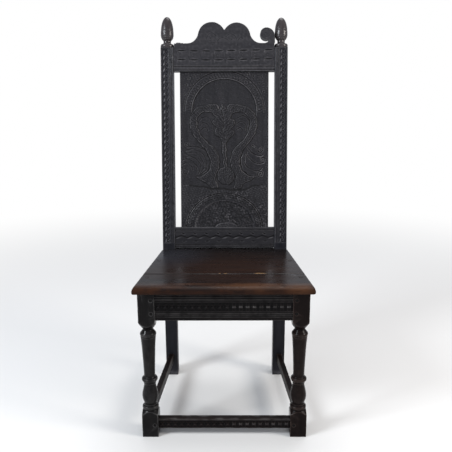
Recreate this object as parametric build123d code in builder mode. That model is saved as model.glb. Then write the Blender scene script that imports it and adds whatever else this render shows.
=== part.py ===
from build123d import *
import os
from math import atan2, cos, degrees, radians, sin, sqrt, tan

# Joined oak wainscot chair: +Z up, the sitter faces -Y, millimetres.
# The origin is on the floor, under the middle of the whole chair.

# ---------------------------------------------------------------- driving sizes
# Plan and heights
front_width = 460        # over the outer faces of the front legs
rear_width = 403         # over the outer faces of the back posts
frame_depth = 363        # front faces of the legs to front faces of the posts
leg_size = 45.5          # square of a front leg
post_width = 40          # back post, seen from the front
post_depth = 40          # back post, seen from the side
seat_height = 447        # top of the seat boards
rake = 8.5               # lean of the back above the seat, degrees
post_rise = 643          # back post above the seat, measured along the rake

# Seat boards
seat_thickness = 20
front_overhang = 12      # nose of the seat in front of the legs
side_overhang = 12       # beyond the legs at the front
rear_side_overhang = 5   # beyond the back posts
front_board_width = 119  # nose to the joint between the two boards
board_gap = 0.8          # shrinkage gap between the boards
seat_rear_inset = 3      # rear edge in front of the back faces of the posts
notch_clearance = 0.5    # round the back posts
nose_depth = 25          # thumb moulding on the front edge
nose_drop = 14
side_nose_depth = 7      # the same on the side edges
side_nose_drop = 12
nose_return = 4          # the moulding's lower curve, inwards
quirk_inset = 36         # scratched line behind the nose

# Seat rails
rail_height = 78
rail_thickness = 24
side_rail_thickness = 22
rail_setback = 3         # front rail behind the leg faces
side_rail_setback = 4    # side rails inside the outer faces
rear_rail_thickness = 22
rear_rail_setback = 3    # inside the back faces of the posts

# Stretchers
front_stretcher_bottom = 22
front_stretcher_height = 28
front_stretcher_depth = 24
front_stretcher_setback = 8
side_stretcher_bottom = 51
side_stretcher_height = 27
side_stretcher_thickness = 17

# Back
back_rail_thickness = 26
back_rail_setback = 3    # rails behind the front faces of the posts
lower_rail_top = 71      # along the rake, from the seat height
lower_rail_gap = 1       # above the seat
crest_bottom = 569       # along the rake
crest_low_top = 656.5    # plain top edge at the ends of the cresting
crest_end_relief = 2     # the cresting is trimmed back beside the finials' collars
collar_gap = 1           # and above them
panel_width = 284
panel_thickness = 12
panel_setback = 12       # panel face behind the front faces of the posts
panel_tongue_thickness = 7
panel_tongue = 8         # depth of the tongue in its groove
groove_spare = 1         # free depth for the panel to move

# Cresting outline, along the rake
hump_radius = 44
hump_spacing = 79        # between the centres of the two humps
left_hump_centre = 678
right_hump_centre = 676
sweep_radius = 35        # hollow curve from a hump down to the plain edge
scroll_radius = 19.2     # rolled end of the scroll
scroll_inset = 28.2      # its centre, from the side of the post
scroll_centre = 685.2
shoulder_radius = 28     # outer shoulder of the scroll
hollow_radius = 16       # hollow under the scroll
hollow_inset = 33.9      # from the side of the post
stub_inset = 5.5         # broken root of the scroll, from the other post
stub_length = 26
stub_height = 2.5

# Panel relief: sunk ground under a round arch, lunette at the foot
relief_depth = 3
arch_radius = 104
arch_centre = 443.5
arch_band = 24           # raised band round the arch, to its outer line
ground_half_width = 118  # below the springing of the arch
ground_bottom = 204
lunette_half_width = 123
lunette_height = 111
lunette_ring = 24.5
fan_half_width = 34      # raised fan at the foot of the lunette
fan_height = 14

# Finials: heights from the top of the post, along its axis
left_finial_height = 98.5
right_finial_height = 95
collar_height = 13
collar_radius = 21.4
finial_neck_radius = 12
finial_neck_height = 19.5
cup_height = 25
cup_radius = 13.6
bulb_radius = 20.5
bulb_height = 43         # at the widest
bulb_fullness = 0.6      # a quarter of an ellipse would have 0.55
cup_lines = (0.33, 0.65)         # incised lines, as shares of the way up to the widest
bulb_line = 0.2                  # and of the way from there to the tip
spigot_radius = 7
spigot_length = 25
spigot_web = 3           # wood between a spigot and the crest rail's tenon

# Turned stretch of a front leg. Heights of the foot and vase are from the floor,
# those of the column, cap and neck are drops from the underside of the seat.
foot_top = 80.5          # top of the turned shoulder on the foot block
foot_shoulder = 14
foot_bead_radius = 23.2
foot_bead_top = 91.5
vase_foot_height = 98
vase_foot_radius = 16.9
vase_height = 117
vase_radius = 22.4
vase_neck_height = 156
vase_neck_radius = 16
mid_bead_bottom = 164
mid_bead_top = 176
mid_bead_radius = 22.4
column_foot_height = 180
column_foot_radius = 15.6
column_mid_drop = 192
column_mid_radius = 17.4
column_top_drop = 129
column_top_radius = 21.4
cap_bottom_drop = 126
cap_top_drop = 119
cap_radius = 22.6
leg_neck_drop = 107
leg_neck_radius = 14.2
block_shoulder = 25      # height of the turned shoulder under the seat block
fillet_step = 1.6        # small square fillets beside the beads

# Joints
tenon_thickness = 10
tenon_haunch = 10        # a tenon is this much narrower than its rail, each edge
rail_tenon = 27          # front rail in the legs
side_front_tenon = 21    # side rails in the legs
post_tenon = 19          # side and rear rails in the posts
back_tenon = 27          # crest and lower back rail in the posts
stretcher_tenon_thickness = 9
stretcher_tenon_height = 20
front_stretcher_tenon = 24
side_stretcher_tenon = 20
cheek_clearance = 0.1    # round a tenon in its mortise
mortise_spare = 1        # mortise deeper than its tenon
groove_clearance = 0.15  # on each cheek of the panel's tongue
dowel_clearance = 0.1

# Pegs
peg_radius = 4
peg_clearance = 0.05
peg_length = 31
post_peg_length = 28
rear_peg_length = 24
stretcher_peg_length = 30
peg_inset = 10           # peg axis behind the shoulder of its tenon
peg_edge = 20            # pegs in a seat rail, from the rail's edges
peg_stagger = 7          # side-rail pegs are set this much further in
seat_peg_radius = 4.5
seat_peg_length = 50
front_seat_peg_x = 96
rear_seat_peg_x = 84

# Scratched lines
scratch_width = 1.6
scratch_depth = 0.9
front_rail_lines = (8, 15, 22, 54.5, 61.5, 66)       # from the top of the rail
crest_lines = (4, 15)                                # from the bottom edge
lower_rail_lines = (9, 56, 62)                       # from the top edge
stretcher_lines = (4.5, 23.5)                        # from the top edge
leg_lines = (9, 13)                                  # from the outer side
post_lines = (2.5, 12)                               # from the inner side
post_band_inset = 6                                  # from the outer side
post_band_width = 19
post_band_depth = 1
post_band_start = 22                                 # along the rake

# ---------------------------------------------------------------- worked-out places
lean = radians(rake)
seat_underside = seat_height - seat_thickness
rail_bottom = seat_underside - rail_height
column_mid_height = seat_underside - column_mid_drop
column_top_height = seat_underside - column_top_drop
cap_bottom = seat_underside - cap_bottom_drop
cap_top = seat_underside - cap_top_drop
leg_neck_height = seat_underside - leg_neck_drop
leg_x = (front_width - leg_size) / 2
leg_inner = leg_x - leg_size / 2
post_x = (rear_width - post_width) / 2
post_inner = post_x - post_width / 2
crest_end = post_inner - crest_end_relief


def bulb_side(height):
    """Side of a finial's bulb, from its widest up to its tip."""
    shoulder = bulb_height + bulb_fullness * (height - bulb_height)
    return Bezier((bulb_radius, bulb_height), (bulb_radius, shoulder),
                  (bulb_fullness * bulb_radius, height), (0, height))


# The bulb of the taller finial reaches furthest back as it leans.
bulb_places = [bulb_side(left_finial_height) @ (step / 500) for step in range(500)]
bulb_reach = max(place.X * cos(lean) + place.Y * sin(lean) for place in bulb_places)
back_reach = post_rise * sin(lean) + post_depth / 2 * cos(lean) + bulb_reach
leg_front = front_overhang - (front_overhang + frame_depth + back_reach) / 2
leg_back = leg_front + leg_size
leg_y = leg_front + leg_size / 2
post_front = leg_front + frame_depth
post_back = post_front + post_depth
seat_nose = leg_front - front_overhang
board_joint = seat_nose + front_board_width

# Elevations seen by someone in front of the chair: x to the right, y up.
front_view = Plane(origin=(0, leg_front, 0), x_dir=(1, 0, 0), z_dir=(0, -1, 0))
back_view = Plane(
    origin=(0, post_front, seat_height),
    x_dir=(1, 0, 0),
    z_dir=(0, -cos(lean), sin(lean)),
)

# The lower back rail clears the seat with its rear bottom edge.
lower_rail_bottom = lower_rail_gap + (back_rail_setback + back_rail_thickness) * tan(lean)
tenon_depth = (back_rail_setback + (back_rail_thickness - tenon_thickness) / 2,
               back_rail_setback + (back_rail_thickness + tenon_thickness) / 2)
tongue_depth = (panel_setback + (panel_thickness - panel_tongue_thickness) / 2,
                panel_setback + (panel_thickness + panel_tongue_thickness) / 2)
front_tenon_depth = (rail_setback + (rail_thickness - tenon_thickness) / 2,
                     rail_setback + (rail_thickness + tenon_thickness) / 2)
rear_rail_depth = (frame_depth + post_depth - rear_rail_setback - rear_rail_thickness,
                   frame_depth + post_depth - rear_rail_setback)
rear_tenon_depth = (sum(rear_rail_depth) / 2 - tenon_thickness / 2,
                    sum(rear_rail_depth) / 2 + tenon_thickness / 2)
stretcher_depth = (front_stretcher_setback, front_stretcher_setback + front_stretcher_depth)
stretcher_tenon_depth = (sum(stretcher_depth) / 2 - stretcher_tenon_thickness / 2,
                         sum(stretcher_depth) / 2 + stretcher_tenon_thickness / 2)
rail_span = (rail_bottom, seat_underside)
rail_tenon_span = (rail_bottom + tenon_haunch, seat_underside - tenon_haunch)
crest_tenon_span = (crest_bottom + tenon_haunch, post_rise - spigot_length - spigot_web)
lower_tenon_span = (lower_rail_bottom + tenon_haunch, lower_rail_top - tenon_haunch)
front_stretcher_span = (front_stretcher_bottom, front_stretcher_bottom + front_stretcher_height)
side_stretcher_span = (side_stretcher_bottom, side_stretcher_bottom + side_stretcher_height)


def middle(span, size):
    """A span of the given size in the middle of another."""
    centre = sum(span) / 2
    return (centre - size / 2, centre + size / 2)


front_stretcher_tenon_span = middle(front_stretcher_span, stretcher_tenon_height)
side_stretcher_tenon_span = middle(side_stretcher_span, stretcher_tenon_height)

# Lines in plan that the side rails' outer faces and the stretchers' middles follow:
# distance from the centre line at the backs of the legs and at the fronts of the posts.
rail_line = (front_width / 2 - side_rail_setback, rear_width / 2 - side_rail_setback)
stretcher_slope = (post_x - leg_x) / (post_front + post_depth / 2 - leg_y)
stretcher_line = (leg_x + stretcher_slope * (leg_back - leg_y),
                  post_x - stretcher_slope * post_depth / 2)


# ---------------------------------------------------------------- shared shapes
def grown(span, by):
    """A span made longer at both ends."""
    return (span[0] - by, span[1] + by)


def outward(side, near, far):
    """Span in X between two distances from the centre line, on one side."""
    return tuple(sorted((side * near, side * far)))


def bar(view, x_span, y_span, depth_span, mode=Mode.ADD):
    """Rectangular bar in an elevation: spans in x, y and depth behind the view."""
    with BuildSketch(view.offset(-depth_span[0])) as section:
        with Locations((sum(x_span) / 2, sum(y_span) / 2)):
            Rectangle(x_span[1] - x_span[0], y_span[1] - y_span[0])
    extrude(section.sketch, amount=depth_span[0] - depth_span[1], mode=mode)


def skew_bar(side, line, offset_span, y_span, z_span, mode=Mode.ADD):
    """Upright bar along one of the side lines, inwards of it by the offset span."""
    slope = (line[1] - line[0]) / (post_front - leg_back)
    corners = []
    for y in y_span:
        on_line = line[0] + slope * (y - leg_back)
        ends = [(side * (on_line - offset), y) for offset in offset_span]
        corners += ends if y == y_span[0] else reversed(ends)
    with BuildSketch(Plane.XY.offset(z_span[0])) as section:
        with BuildLine():
            Polyline(*corners, close=True)
        make_face()
    extrude(section.sketch, amount=z_span[1] - z_span[0], mode=mode)


def rod(start, direction, radius, length, mode=Mode.ADD):
    """Round bar from a start point along a direction."""
    with BuildSketch(Plane(origin=start, z_dir=direction)) as section:
        Circle(radius)
    extrude(section.sketch, amount=length, mode=mode)


def raked_point(x, rise, depth):
    """Point on the back: up the rake and behind the front faces of the posts."""
    return back_view.from_local_coords(Vector(x, rise, -depth))


def drill(pegs):
    """Peg holes through what is being built."""
    for start, direction, length in pegs:
        rod(start, direction, peg_radius + peg_clearance, length, mode=Mode.SUBTRACT)


# ---------------------------------------------------------------- joints, each written once
def front_rail_joint(side, slack=0.0, mode=Mode.ADD):
    """Front rail's tenon in a leg, or its mortise when slack is given."""
    reach = leg_inner + rail_tenon + (mortise_spare if slack else 0)
    bar(front_view, outward(side, leg_inner, reach),
        grown(rail_tenon_span, slack), grown(front_tenon_depth, slack), mode)


def side_rail_joints(side, slack=0.0, mode=Mode.ADD):
    """Tenons at both ends of a side rail, or their mortises."""
    spare = mortise_spare if slack else 0
    cheeks = grown(middle((0, side_rail_thickness), tenon_thickness), slack)
    z_span = grown(rail_tenon_span, slack)
    skew_bar(side, rail_line, cheeks, (leg_back - side_front_tenon - spare, leg_back), z_span, mode)
    skew_bar(side, rail_line, cheeks, (post_front, post_front + post_tenon + spare), z_span, mode)


def rear_rail_joint(side, slack=0.0, mode=Mode.ADD):
    """Rear rail's tenon in a post, or its mortise."""
    reach = post_inner + post_tenon + (mortise_spare if slack else 0)
    bar(front_view, outward(side, post_inner, reach),
        grown(rail_tenon_span, slack), grown(rear_tenon_depth, slack), mode)


def back_joint(side, rise_span, slack=0.0, mode=Mode.ADD):
    """Tenon of a rail of the back in a post, or its mortise."""
    reach = post_inner + back_tenon + (mortise_spare if slack else 0)
    bar(back_view, outward(side, post_inner, reach),
        grown(rise_span, slack), grown(tenon_depth, slack), mode)


def front_stretcher_joint(side, slack=0.0, mode=Mode.ADD):
    """Front stretcher's tenon in a foot block, or its mortise."""
    reach = leg_inner + front_stretcher_tenon + (mortise_spare if slack else 0)
    bar(front_view, outward(side, leg_inner, reach),
        grown(front_stretcher_tenon_span, slack), grown(stretcher_tenon_depth, slack), mode)


def side_stretcher_joints(side, slack=0.0, mode=Mode.ADD):
    """Tenons at both ends of a side stretcher, or their mortises."""
    reach = side_stretcher_tenon + (mortise_spare if slack else 0)
    half = stretcher_tenon_thickness / 2 + slack
    z_span = grown(side_stretcher_tenon_span, slack)
    skew_bar(side, stretcher_line, (-half, half), (leg_back - reach, leg_back), z_span, mode)
    skew_bar(side, stretcher_line, (-half, half), (post_front, post_front + reach), z_span, mode)


# Pegs of each joint: start on the outer face, direction inwards, length.
def front_rail_pegs(side):
    heights = (rail_bottom + peg_edge, seat_underside - peg_edge)
    x = side * (leg_inner + peg_inset)
    return [((x, leg_front, z), (0, 1, 0), peg_length) for z in heights]


def side_rail_pegs(side):
    edge = peg_edge + peg_stagger
    heights = (rail_bottom + edge, seat_underside - edge)
    pegs = [((side * front_width / 2, leg_back - peg_inset, z), (-side, 0, 0), peg_length)
            for z in heights]
    return pegs + [((side * rear_width / 2, post_front + peg_inset, z), (-side, 0, 0),
                    post_peg_length) for z in heights]


def rear_rail_pegs(side):
    heights = (rail_bottom + peg_edge, seat_underside - peg_edge)
    x = side * (post_inner + peg_inset)
    return [((x, post_back, z), (0, -1, 0), rear_peg_length) for z in heights]


def back_rail_pegs(side, rise_span):
    quarter = (rise_span[1] - rise_span[0]) / 4
    rises = (rise_span[0] + quarter, rise_span[1] - quarter)
    x = side * (post_inner + peg_inset)
    return [(raked_point(x, rise, post_depth), back_view.z_dir, post_peg_length)
            for rise in rises]


def stretcher_pegs(side):
    low = sum(front_stretcher_span) / 2
    high = sum(side_stretcher_span) / 2
    return [
        ((side * (leg_inner + peg_inset), leg_front, low), (0, 1, 0), stretcher_peg_length),
        ((side * front_width / 2, leg_back - peg_inset, high), (-side, 0, 0),
         stretcher_peg_length),
        ((side * rear_width / 2, post_front + peg_inset, high), (-side, 0, 0),
         stretcher_peg_length),
    ]


side_peg_offset = side_rail_thickness / 2
side_slope = (rail_line[1] - rail_line[0]) / (post_front - leg_back)


def seat_peg_spots():
    """Seat pegs, over the middles of the rails."""
    spots = []
    rear_rail_y = leg_front + sum(rear_rail_depth) / 2
    front_rail_y = leg_front + rail_setback + rail_thickness / 2
    side_ys = ((leg_back + board_joint) / 2, (board_joint + post_front) / 2)
    for side in (-1, 1):
        spots.append((side * front_seat_peg_x, front_rail_y))
        spots.append((side * rear_seat_peg_x, rear_rail_y))
        for y in side_ys:
            spots.append((side * (rail_line[0] + side_slope * (y - leg_back) - side_peg_offset), y))
    return spots


def drill_seat_pegs():
    for x, y in seat_peg_spots():
        rod((x, y, seat_height), (0, 0, -1), seat_peg_radius + peg_clearance,
            seat_peg_length, mode=Mode.SUBTRACT)


# ---------------------------------------------------------------- front legs
block_radius = leg_size * 0.72      # outside the corners of the square


def front_leg(side):
    x = side * leg_x
    turning_view = Plane(origin=(x, leg_y, 0), x_dir=(1, 0, 0), z_dir=(0, -1, 0))
    block_start = leg_neck_height + block_shoulder
    vase_side = [(vase_foot_radius, vase_foot_height), (vase_radius, vase_height),
                 (vase_neck_radius, vase_neck_height)]
    column_side = [(column_foot_radius, column_foot_height),
                   (column_mid_radius, column_mid_height),
                   (column_top_radius, column_top_height)]
    foot_bead_root = foot_bead_radius - 2 * fillet_step
    mid_bead_root = mid_bead_radius - 2 * fillet_step
    with BuildPart() as leg:
        bar(front_view, outward(side, leg_inner, leg_inner + leg_size),
            (0, seat_underside), (0, leg_size))
        with BuildSketch(turning_view) as profile:
            with BuildLine():
                Polyline((0, 0), (block_radius, 0), (block_radius, foot_top - foot_shoulder),
                         (foot_bead_root, foot_top))
                ThreePointArc((foot_bead_root, foot_top),
                              (foot_bead_radius, (foot_top + foot_bead_top) / 2),
                              (foot_bead_root, foot_bead_top))
                Polyline((foot_bead_root, foot_bead_top),
                         (vase_foot_radius + fillet_step, foot_bead_top),
                         (vase_foot_radius + fillet_step, vase_foot_height - 2 * fillet_step),
                         vase_side[0])
                Spline(*vase_side, tangents=[(1, 2), (-0.15, 1)])
                Polyline(vase_side[-1],
                         (vase_neck_radius + fillet_step, vase_neck_height + fillet_step),
                         (vase_neck_radius + fillet_step, mid_bead_bottom - fillet_step),
                         (mid_bead_root, mid_bead_bottom))
                ThreePointArc((mid_bead_root, mid_bead_bottom),
                              (mid_bead_radius, (mid_bead_bottom + mid_bead_top) / 2),
                              (mid_bead_root, mid_bead_top))
                Polyline((mid_bead_root, mid_bead_top),
                         (column_foot_radius + fillet_step, mid_bead_top),
                         (column_foot_radius + fillet_step, column_foot_height - fillet_step),
                         column_side[0])
                Spline(*column_side, tangents=[(0, 1), (0.12, 1)])
                Polyline(column_side[-1],
                         (column_top_radius - fillet_step / 2, column_top_height),
                         (column_top_radius - fillet_step / 2, cap_bottom),
                         (cap_radius - fillet_step / 2, cap_bottom))
                ThreePointArc((cap_radius - fillet_step / 2, cap_bottom),
                              (cap_radius, (cap_bottom + cap_top) / 2),
                              (cap_radius - fillet_step / 2, cap_top))
                Polyline((cap_radius - fillet_step / 2, cap_top),
                         (leg_neck_radius, leg_neck_height - fillet_step),
                         (leg_neck_radius, leg_neck_height),
                         (block_radius, block_start),
                         (block_radius, seat_underside), (0, seat_underside), (0, 0))
            make_face()
        revolve(profile.sketch, axis=Axis((x, leg_y, 0), (0, 0, 1)), mode=Mode.INTERSECT)
        for line in leg_lines:
            groove = middle(outward(side, front_width / 2 - line, front_width / 2 - line),
                            scratch_width)
            bar(front_view, groove, (leg_neck_height, seat_underside), (0, scratch_depth),
                Mode.SUBTRACT)
        front_rail_joint(side, cheek_clearance, Mode.SUBTRACT)
        side_rail_joints(side, cheek_clearance, Mode.SUBTRACT)
        front_stretcher_joint(side, cheek_clearance, Mode.SUBTRACT)
        side_stretcher_joints(side, cheek_clearance, Mode.SUBTRACT)
        drill(front_rail_pegs(side) + side_rail_pegs(side) + stretcher_pegs(side))
    return leg


# ---------------------------------------------------------------- back posts and finials
def back_post(side):
    face = outward(side, post_inner, post_inner + post_width)
    top_front = raked_point(0, post_rise, 0)
    top_back = raked_point(0, post_rise, post_depth)
    with BuildPart() as post:
        with BuildSketch(Plane.YZ.offset(face[0])):
            with BuildLine():
                Polyline((post_front, 0), (post_front, seat_height),
                         (top_front.Y, top_front.Z), (top_back.Y, top_back.Z),
                         (post_back, seat_height - post_depth * tan(lean / 2)),
                         (post_back, 0), close=True)
            make_face()
        extrude(amount=post_width)
        band_outer = post_x + post_width / 2 - post_band_inset
        bar(back_view, outward(side, band_outer - post_band_width, band_outer),
            (post_band_start, post_rise), (0, post_band_depth), Mode.SUBTRACT)
        for line in post_lines:
            groove = middle(outward(side, post_inner + line, post_inner + line), scratch_width)
            bar(back_view, groove, (post_band_start, post_rise), (0, scratch_depth),
                Mode.SUBTRACT)
        side_rail_joints(side, cheek_clearance, Mode.SUBTRACT)
        side_stretcher_joints(side, cheek_clearance, Mode.SUBTRACT)
        rear_rail_joint(side, cheek_clearance, Mode.SUBTRACT)
        back_joint(side, lower_tenon_span, cheek_clearance, Mode.SUBTRACT)
        back_joint(side, crest_tenon_span, cheek_clearance, Mode.SUBTRACT)
        drill(side_rail_pegs(side) + rear_rail_pegs(side) + stretcher_pegs(side))
        drill(back_rail_pegs(side, lower_tenon_span) + back_rail_pegs(side, crest_tenon_span))
        rod(raked_point(side * post_x, post_rise, post_depth / 2), -back_view.y_dir,
            spigot_radius + dowel_clearance, spigot_length, mode=Mode.SUBTRACT)
    return post


def finial(side, height):
    foot = raked_point(side * post_x, post_rise, post_depth / 2)
    view = Plane(origin=foot, x_dir=(1, 0, 0), z_dir=back_view.z_dir)
    collar_edge = collar_radius - fillet_step
    neck_edge = cup_radius - fillet_step / 2
    cup_rise = bulb_height - cup_height
    with BuildPart() as turning:
        with BuildSketch(view) as profile:
            with BuildLine():
                Polyline((0, height), (0, -spigot_length), (spigot_radius, -spigot_length),
                         (spigot_radius, 0), (collar_edge, 0))
                ThreePointArc((collar_edge, 0), (collar_radius, collar_height / 2),
                              (collar_edge, collar_height - fillet_step / 2))
                Line((collar_edge, collar_height - fillet_step / 2),
                     (neck_edge, collar_height + fillet_step))
                ThreePointArc((neck_edge, collar_height + fillet_step),
                              (finial_neck_radius, finial_neck_height), (neck_edge, cup_height))
                Line((neck_edge, cup_height), (cup_radius, cup_height))
                cup = Bezier((cup_radius, cup_height),
                             (cup_radius + cup_rise / 4, cup_height + cup_rise / 4),
                             (bulb_radius, cup_height + cup_rise / 2), (bulb_radius, bulb_height))
                bulb = bulb_side(height)
            make_face()
        revolve(profile.sketch, axis=Axis(foot, back_view.y_dir))
        with BuildSketch(view) as cutter:
            with Locations(bulb @ bulb_line, *[cup @ share for share in cup_lines]):
                Circle(scratch_depth)
        revolve(cutter.sketch, axis=Axis(foot, back_view.y_dir), mode=Mode.SUBTRACT)
    return turning


# ---------------------------------------------------------------- rails of the back
def meeting_point(first, first_radius, second, second_radius):
    """Point where two circles cross, left of the way from the first centre to the second."""
    dx = second[0] - first[0]
    dy = second[1] - first[1]
    gap = sqrt(dx * dx + dy * dy)
    along = (first_radius ** 2 - second_radius ** 2 + gap * gap) / (2 * gap)
    across = sqrt(first_radius ** 2 - along ** 2)
    return (first[0] + (along * dx - across * dy) / gap,
            first[1] + (along * dy + across * dx) / gap)


def angle_from(centre, point):
    """Direction of a point seen from a centre, in degrees."""
    return degrees(atan2(point[1] - centre[1], point[0] - centre[0]))


def sweep_centre(side, hump):
    """Centre of the hollow curve that runs from a hump down to the plain edge."""
    rise = crest_low_top + sweep_radius
    reach = sqrt((hump_radius + sweep_radius) ** 2 - (rise - hump[1]) ** 2)
    return (hump[0] + side * reach, rise)


def crest_humps():
    """Outline of the rail and the two humps on it, each with a hollow sweep down."""
    left_hump = (-hump_spacing / 2, left_hump_centre)
    right_hump = (hump_spacing / 2, right_hump_centre)
    left_sweep = sweep_centre(-1, left_hump)
    right_sweep = sweep_centre(1, right_hump)
    valley = meeting_point(left_hump, hump_radius, right_hump, hump_radius)
    Polyline((left_sweep[0], crest_low_top), (-crest_end, crest_low_top), (-crest_end, post_rise),
             (-post_inner, post_rise), (-post_inner, crest_bottom), (post_inner, crest_bottom),
             (post_inner, post_rise), (crest_end, post_rise), (crest_end, crest_low_top),
             (right_sweep[0], crest_low_top))
    CenterArc(right_sweep, sweep_radius, -90, angle_from(right_sweep, right_hump) + 90)
    start = angle_from(right_hump, right_sweep)
    CenterArc(right_hump, hump_radius, start, angle_from(right_hump, valley) - start)
    start = angle_from(left_hump, valley)
    CenterArc(left_hump, hump_radius, start, angle_from(left_hump, left_sweep) - start)
    start = angle_from(left_sweep, left_hump)
    CenterArc(left_sweep, sweep_radius, start, -90 - start)


def crest_scroll():
    """Outline of the rolled scroll against the right post."""
    scroll = (post_inner - scroll_inset, scroll_centre)
    hollow = (post_inner - hollow_inset, crest_low_top + hollow_radius)
    root = meeting_point(scroll, scroll_radius, hollow, hollow_radius)
    shoulder = (scroll[0], scroll_centre + scroll_radius - shoulder_radius)
    shoulder_x = scroll[0] + shoulder_radius
    collar_clear = post_rise + collar_height + collar_gap
    CenterArc(shoulder, shoulder_radius, 0, 90)
    CenterArc(scroll, scroll_radius, 90, angle_from(scroll, root) + 270)
    CenterArc(hollow, hollow_radius, angle_from(hollow, root), -90 - angle_from(hollow, root))
    Polyline((hollow[0], crest_low_top), (hollow[0], post_rise), (crest_end, post_rise),
             (crest_end, collar_clear), (shoulder_x, collar_clear), (shoulder_x, shoulder[1]))


def crest_stub():
    """Outline of the broken root of the scroll that stood against the left post."""
    outer = stub_inset - post_inner
    inner = outer + stub_length
    ThreePointArc((inner, crest_low_top), ((inner + outer) / 2, crest_low_top + stub_height),
                  (outer, crest_low_top))
    Polyline((outer, crest_low_top), (outer, post_rise), (inner, post_rise),
             (inner, crest_low_top))


def panel_groove(rise_span):
    """Groove for the panel's tongue."""
    bar(back_view, (-panel_width / 2 - groove_clearance, panel_width / 2 + groove_clearance),
        rise_span, grown(tongue_depth, groove_clearance), Mode.SUBTRACT)


def scratched(view, half_width, heights, face_depth):
    """Lines scratched along a rail's face."""
    for height in heights:
        bar(view, (-half_width, half_width), middle((height, height), scratch_width),
            (face_depth, face_depth + scratch_depth), Mode.SUBTRACT)


with BuildPart() as crest_rail:
    with BuildSketch(back_view.offset(-back_rail_setback)):
        for outline in (crest_humps, crest_scroll, crest_stub):
            with BuildLine():
                outline()
            make_face()
    extrude(amount=-back_rail_thickness)
    scratched(back_view, post_inner, [crest_bottom + line for line in crest_lines],
              back_rail_setback)
    panel_groove((crest_bottom, crest_bottom + panel_tongue + groove_spare))
    for side in (-1, 1):
        back_joint(side, crest_tenon_span)
        drill(back_rail_pegs(side, crest_tenon_span))

with BuildPart() as lower_back_rail:
    bar(back_view, (-post_inner, post_inner), (lower_rail_bottom, lower_rail_top),
        (back_rail_setback, back_rail_setback + back_rail_thickness))
    scratched(back_view, post_inner, [lower_rail_top - line for line in lower_rail_lines],
              back_rail_setback)
    panel_groove((lower_rail_top - panel_tongue, lower_rail_top))
    for side in (-1, 1):
        back_joint(side, lower_tenon_span)
        drill(back_rail_pegs(side, lower_tenon_span))

# ---------------------------------------------------------------- carved panel
panel_face = back_view.offset(-panel_setback)


def arched_line(half_width, height, foot):
    """Line scratched round a half ellipse that stands at a height on the panel."""
    with BuildSketch(panel_face) as line:
        with Locations((0, foot)):
            Ellipse(half_width + scratch_width / 2, height + scratch_width / 2)
            Ellipse(half_width - scratch_width / 2, height - scratch_width / 2,
                    mode=Mode.SUBTRACT)
        with Locations((0, foot + height)):
            Rectangle(3 * half_width, 2 * height, mode=Mode.INTERSECT)
    extrude(line.sketch, amount=-scratch_depth, mode=Mode.SUBTRACT)


with BuildPart() as back_panel:
    bar(back_view, (-panel_width / 2, panel_width / 2), (lower_rail_top, crest_bottom),
        (panel_setback, panel_setback + panel_thickness))
    bar(back_view, (-panel_width / 2, panel_width / 2),
        (lower_rail_top - panel_tongue, crest_bottom + panel_tongue), tongue_depth)
    with BuildSketch(panel_face):
        with Locations((0, arch_centre)):
            Circle(arch_radius)
        with Locations((0, (arch_centre + ground_bottom) / 2)):
            Rectangle(2 * ground_half_width, arch_centre - ground_bottom)
    extrude(amount=-relief_depth, mode=Mode.SUBTRACT)
    with BuildSketch(panel_face):
        with Locations((0, lower_rail_top)):
            Ellipse(lunette_half_width - lunette_ring, lunette_height - lunette_ring)
            Ellipse(fan_half_width, fan_height, mode=Mode.SUBTRACT)
        with Locations((0, lower_rail_top + lunette_height)):
            Rectangle(2 * lunette_half_width, 2 * lunette_height, mode=Mode.INTERSECT)
    extrude(amount=-relief_depth, mode=Mode.SUBTRACT)
    arched_line(arch_radius + arch_band, arch_radius + arch_band, arch_centre)
    arched_line(lunette_half_width, lunette_height, lower_rail_top)

# ---------------------------------------------------------------- seat rails
with BuildPart() as front_seat_rail:
    bar(front_view, (-leg_inner, leg_inner), rail_span,
        (rail_setback, rail_setback + rail_thickness))
    scratched(front_view, leg_inner, [seat_underside - line for line in front_rail_lines],
              rail_setback)
    for side in (-1, 1):
        front_rail_joint(side)
        drill(front_rail_pegs(side))
    drill_seat_pegs()

with BuildPart() as rear_seat_rail:
    bar(front_view, (-post_inner, post_inner), rail_span, rear_rail_depth)
    for side in (-1, 1):
        rear_rail_joint(side)
        drill(rear_rail_pegs(side))
    drill_seat_pegs()


def side_seat_rail(side):
    with BuildPart() as rail:
        skew_bar(side, rail_line, (0, side_rail_thickness), (leg_back, post_front), rail_span)
        side_rail_joints(side)
        drill(side_rail_pegs(side))
        drill_seat_pegs()
    return rail


# ---------------------------------------------------------------- stretchers
with BuildPart() as front_stretcher:
    bar(front_view, (-leg_inner, leg_inner), front_stretcher_span, stretcher_depth)
    scratched(front_view, leg_inner, [front_stretcher_span[1] - line for line in stretcher_lines],
              front_stretcher_setback)
    for side in (-1, 1):
        front_stretcher_joint(side)
        drill(stretcher_pegs(side))


def side_stretcher(side):
    half = side_stretcher_thickness / 2
    with BuildPart() as stretcher:
        skew_bar(side, stretcher_line, (-half, half), (leg_back, post_front), side_stretcher_span)
        side_stretcher_joints(side)
        drill(stretcher_pegs(side))
    return stretcher


# ---------------------------------------------------------------- seat boards
seat_side_slope = (((rear_width / 2 + rear_side_overhang) - (front_width / 2 + side_overhang))
                   / (post_front - leg_front))


def seat_half_width(y):
    """Half the seat's width at a place from front to back."""
    return front_width / 2 + side_overhang + seat_side_slope * (y - leg_front)


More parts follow.
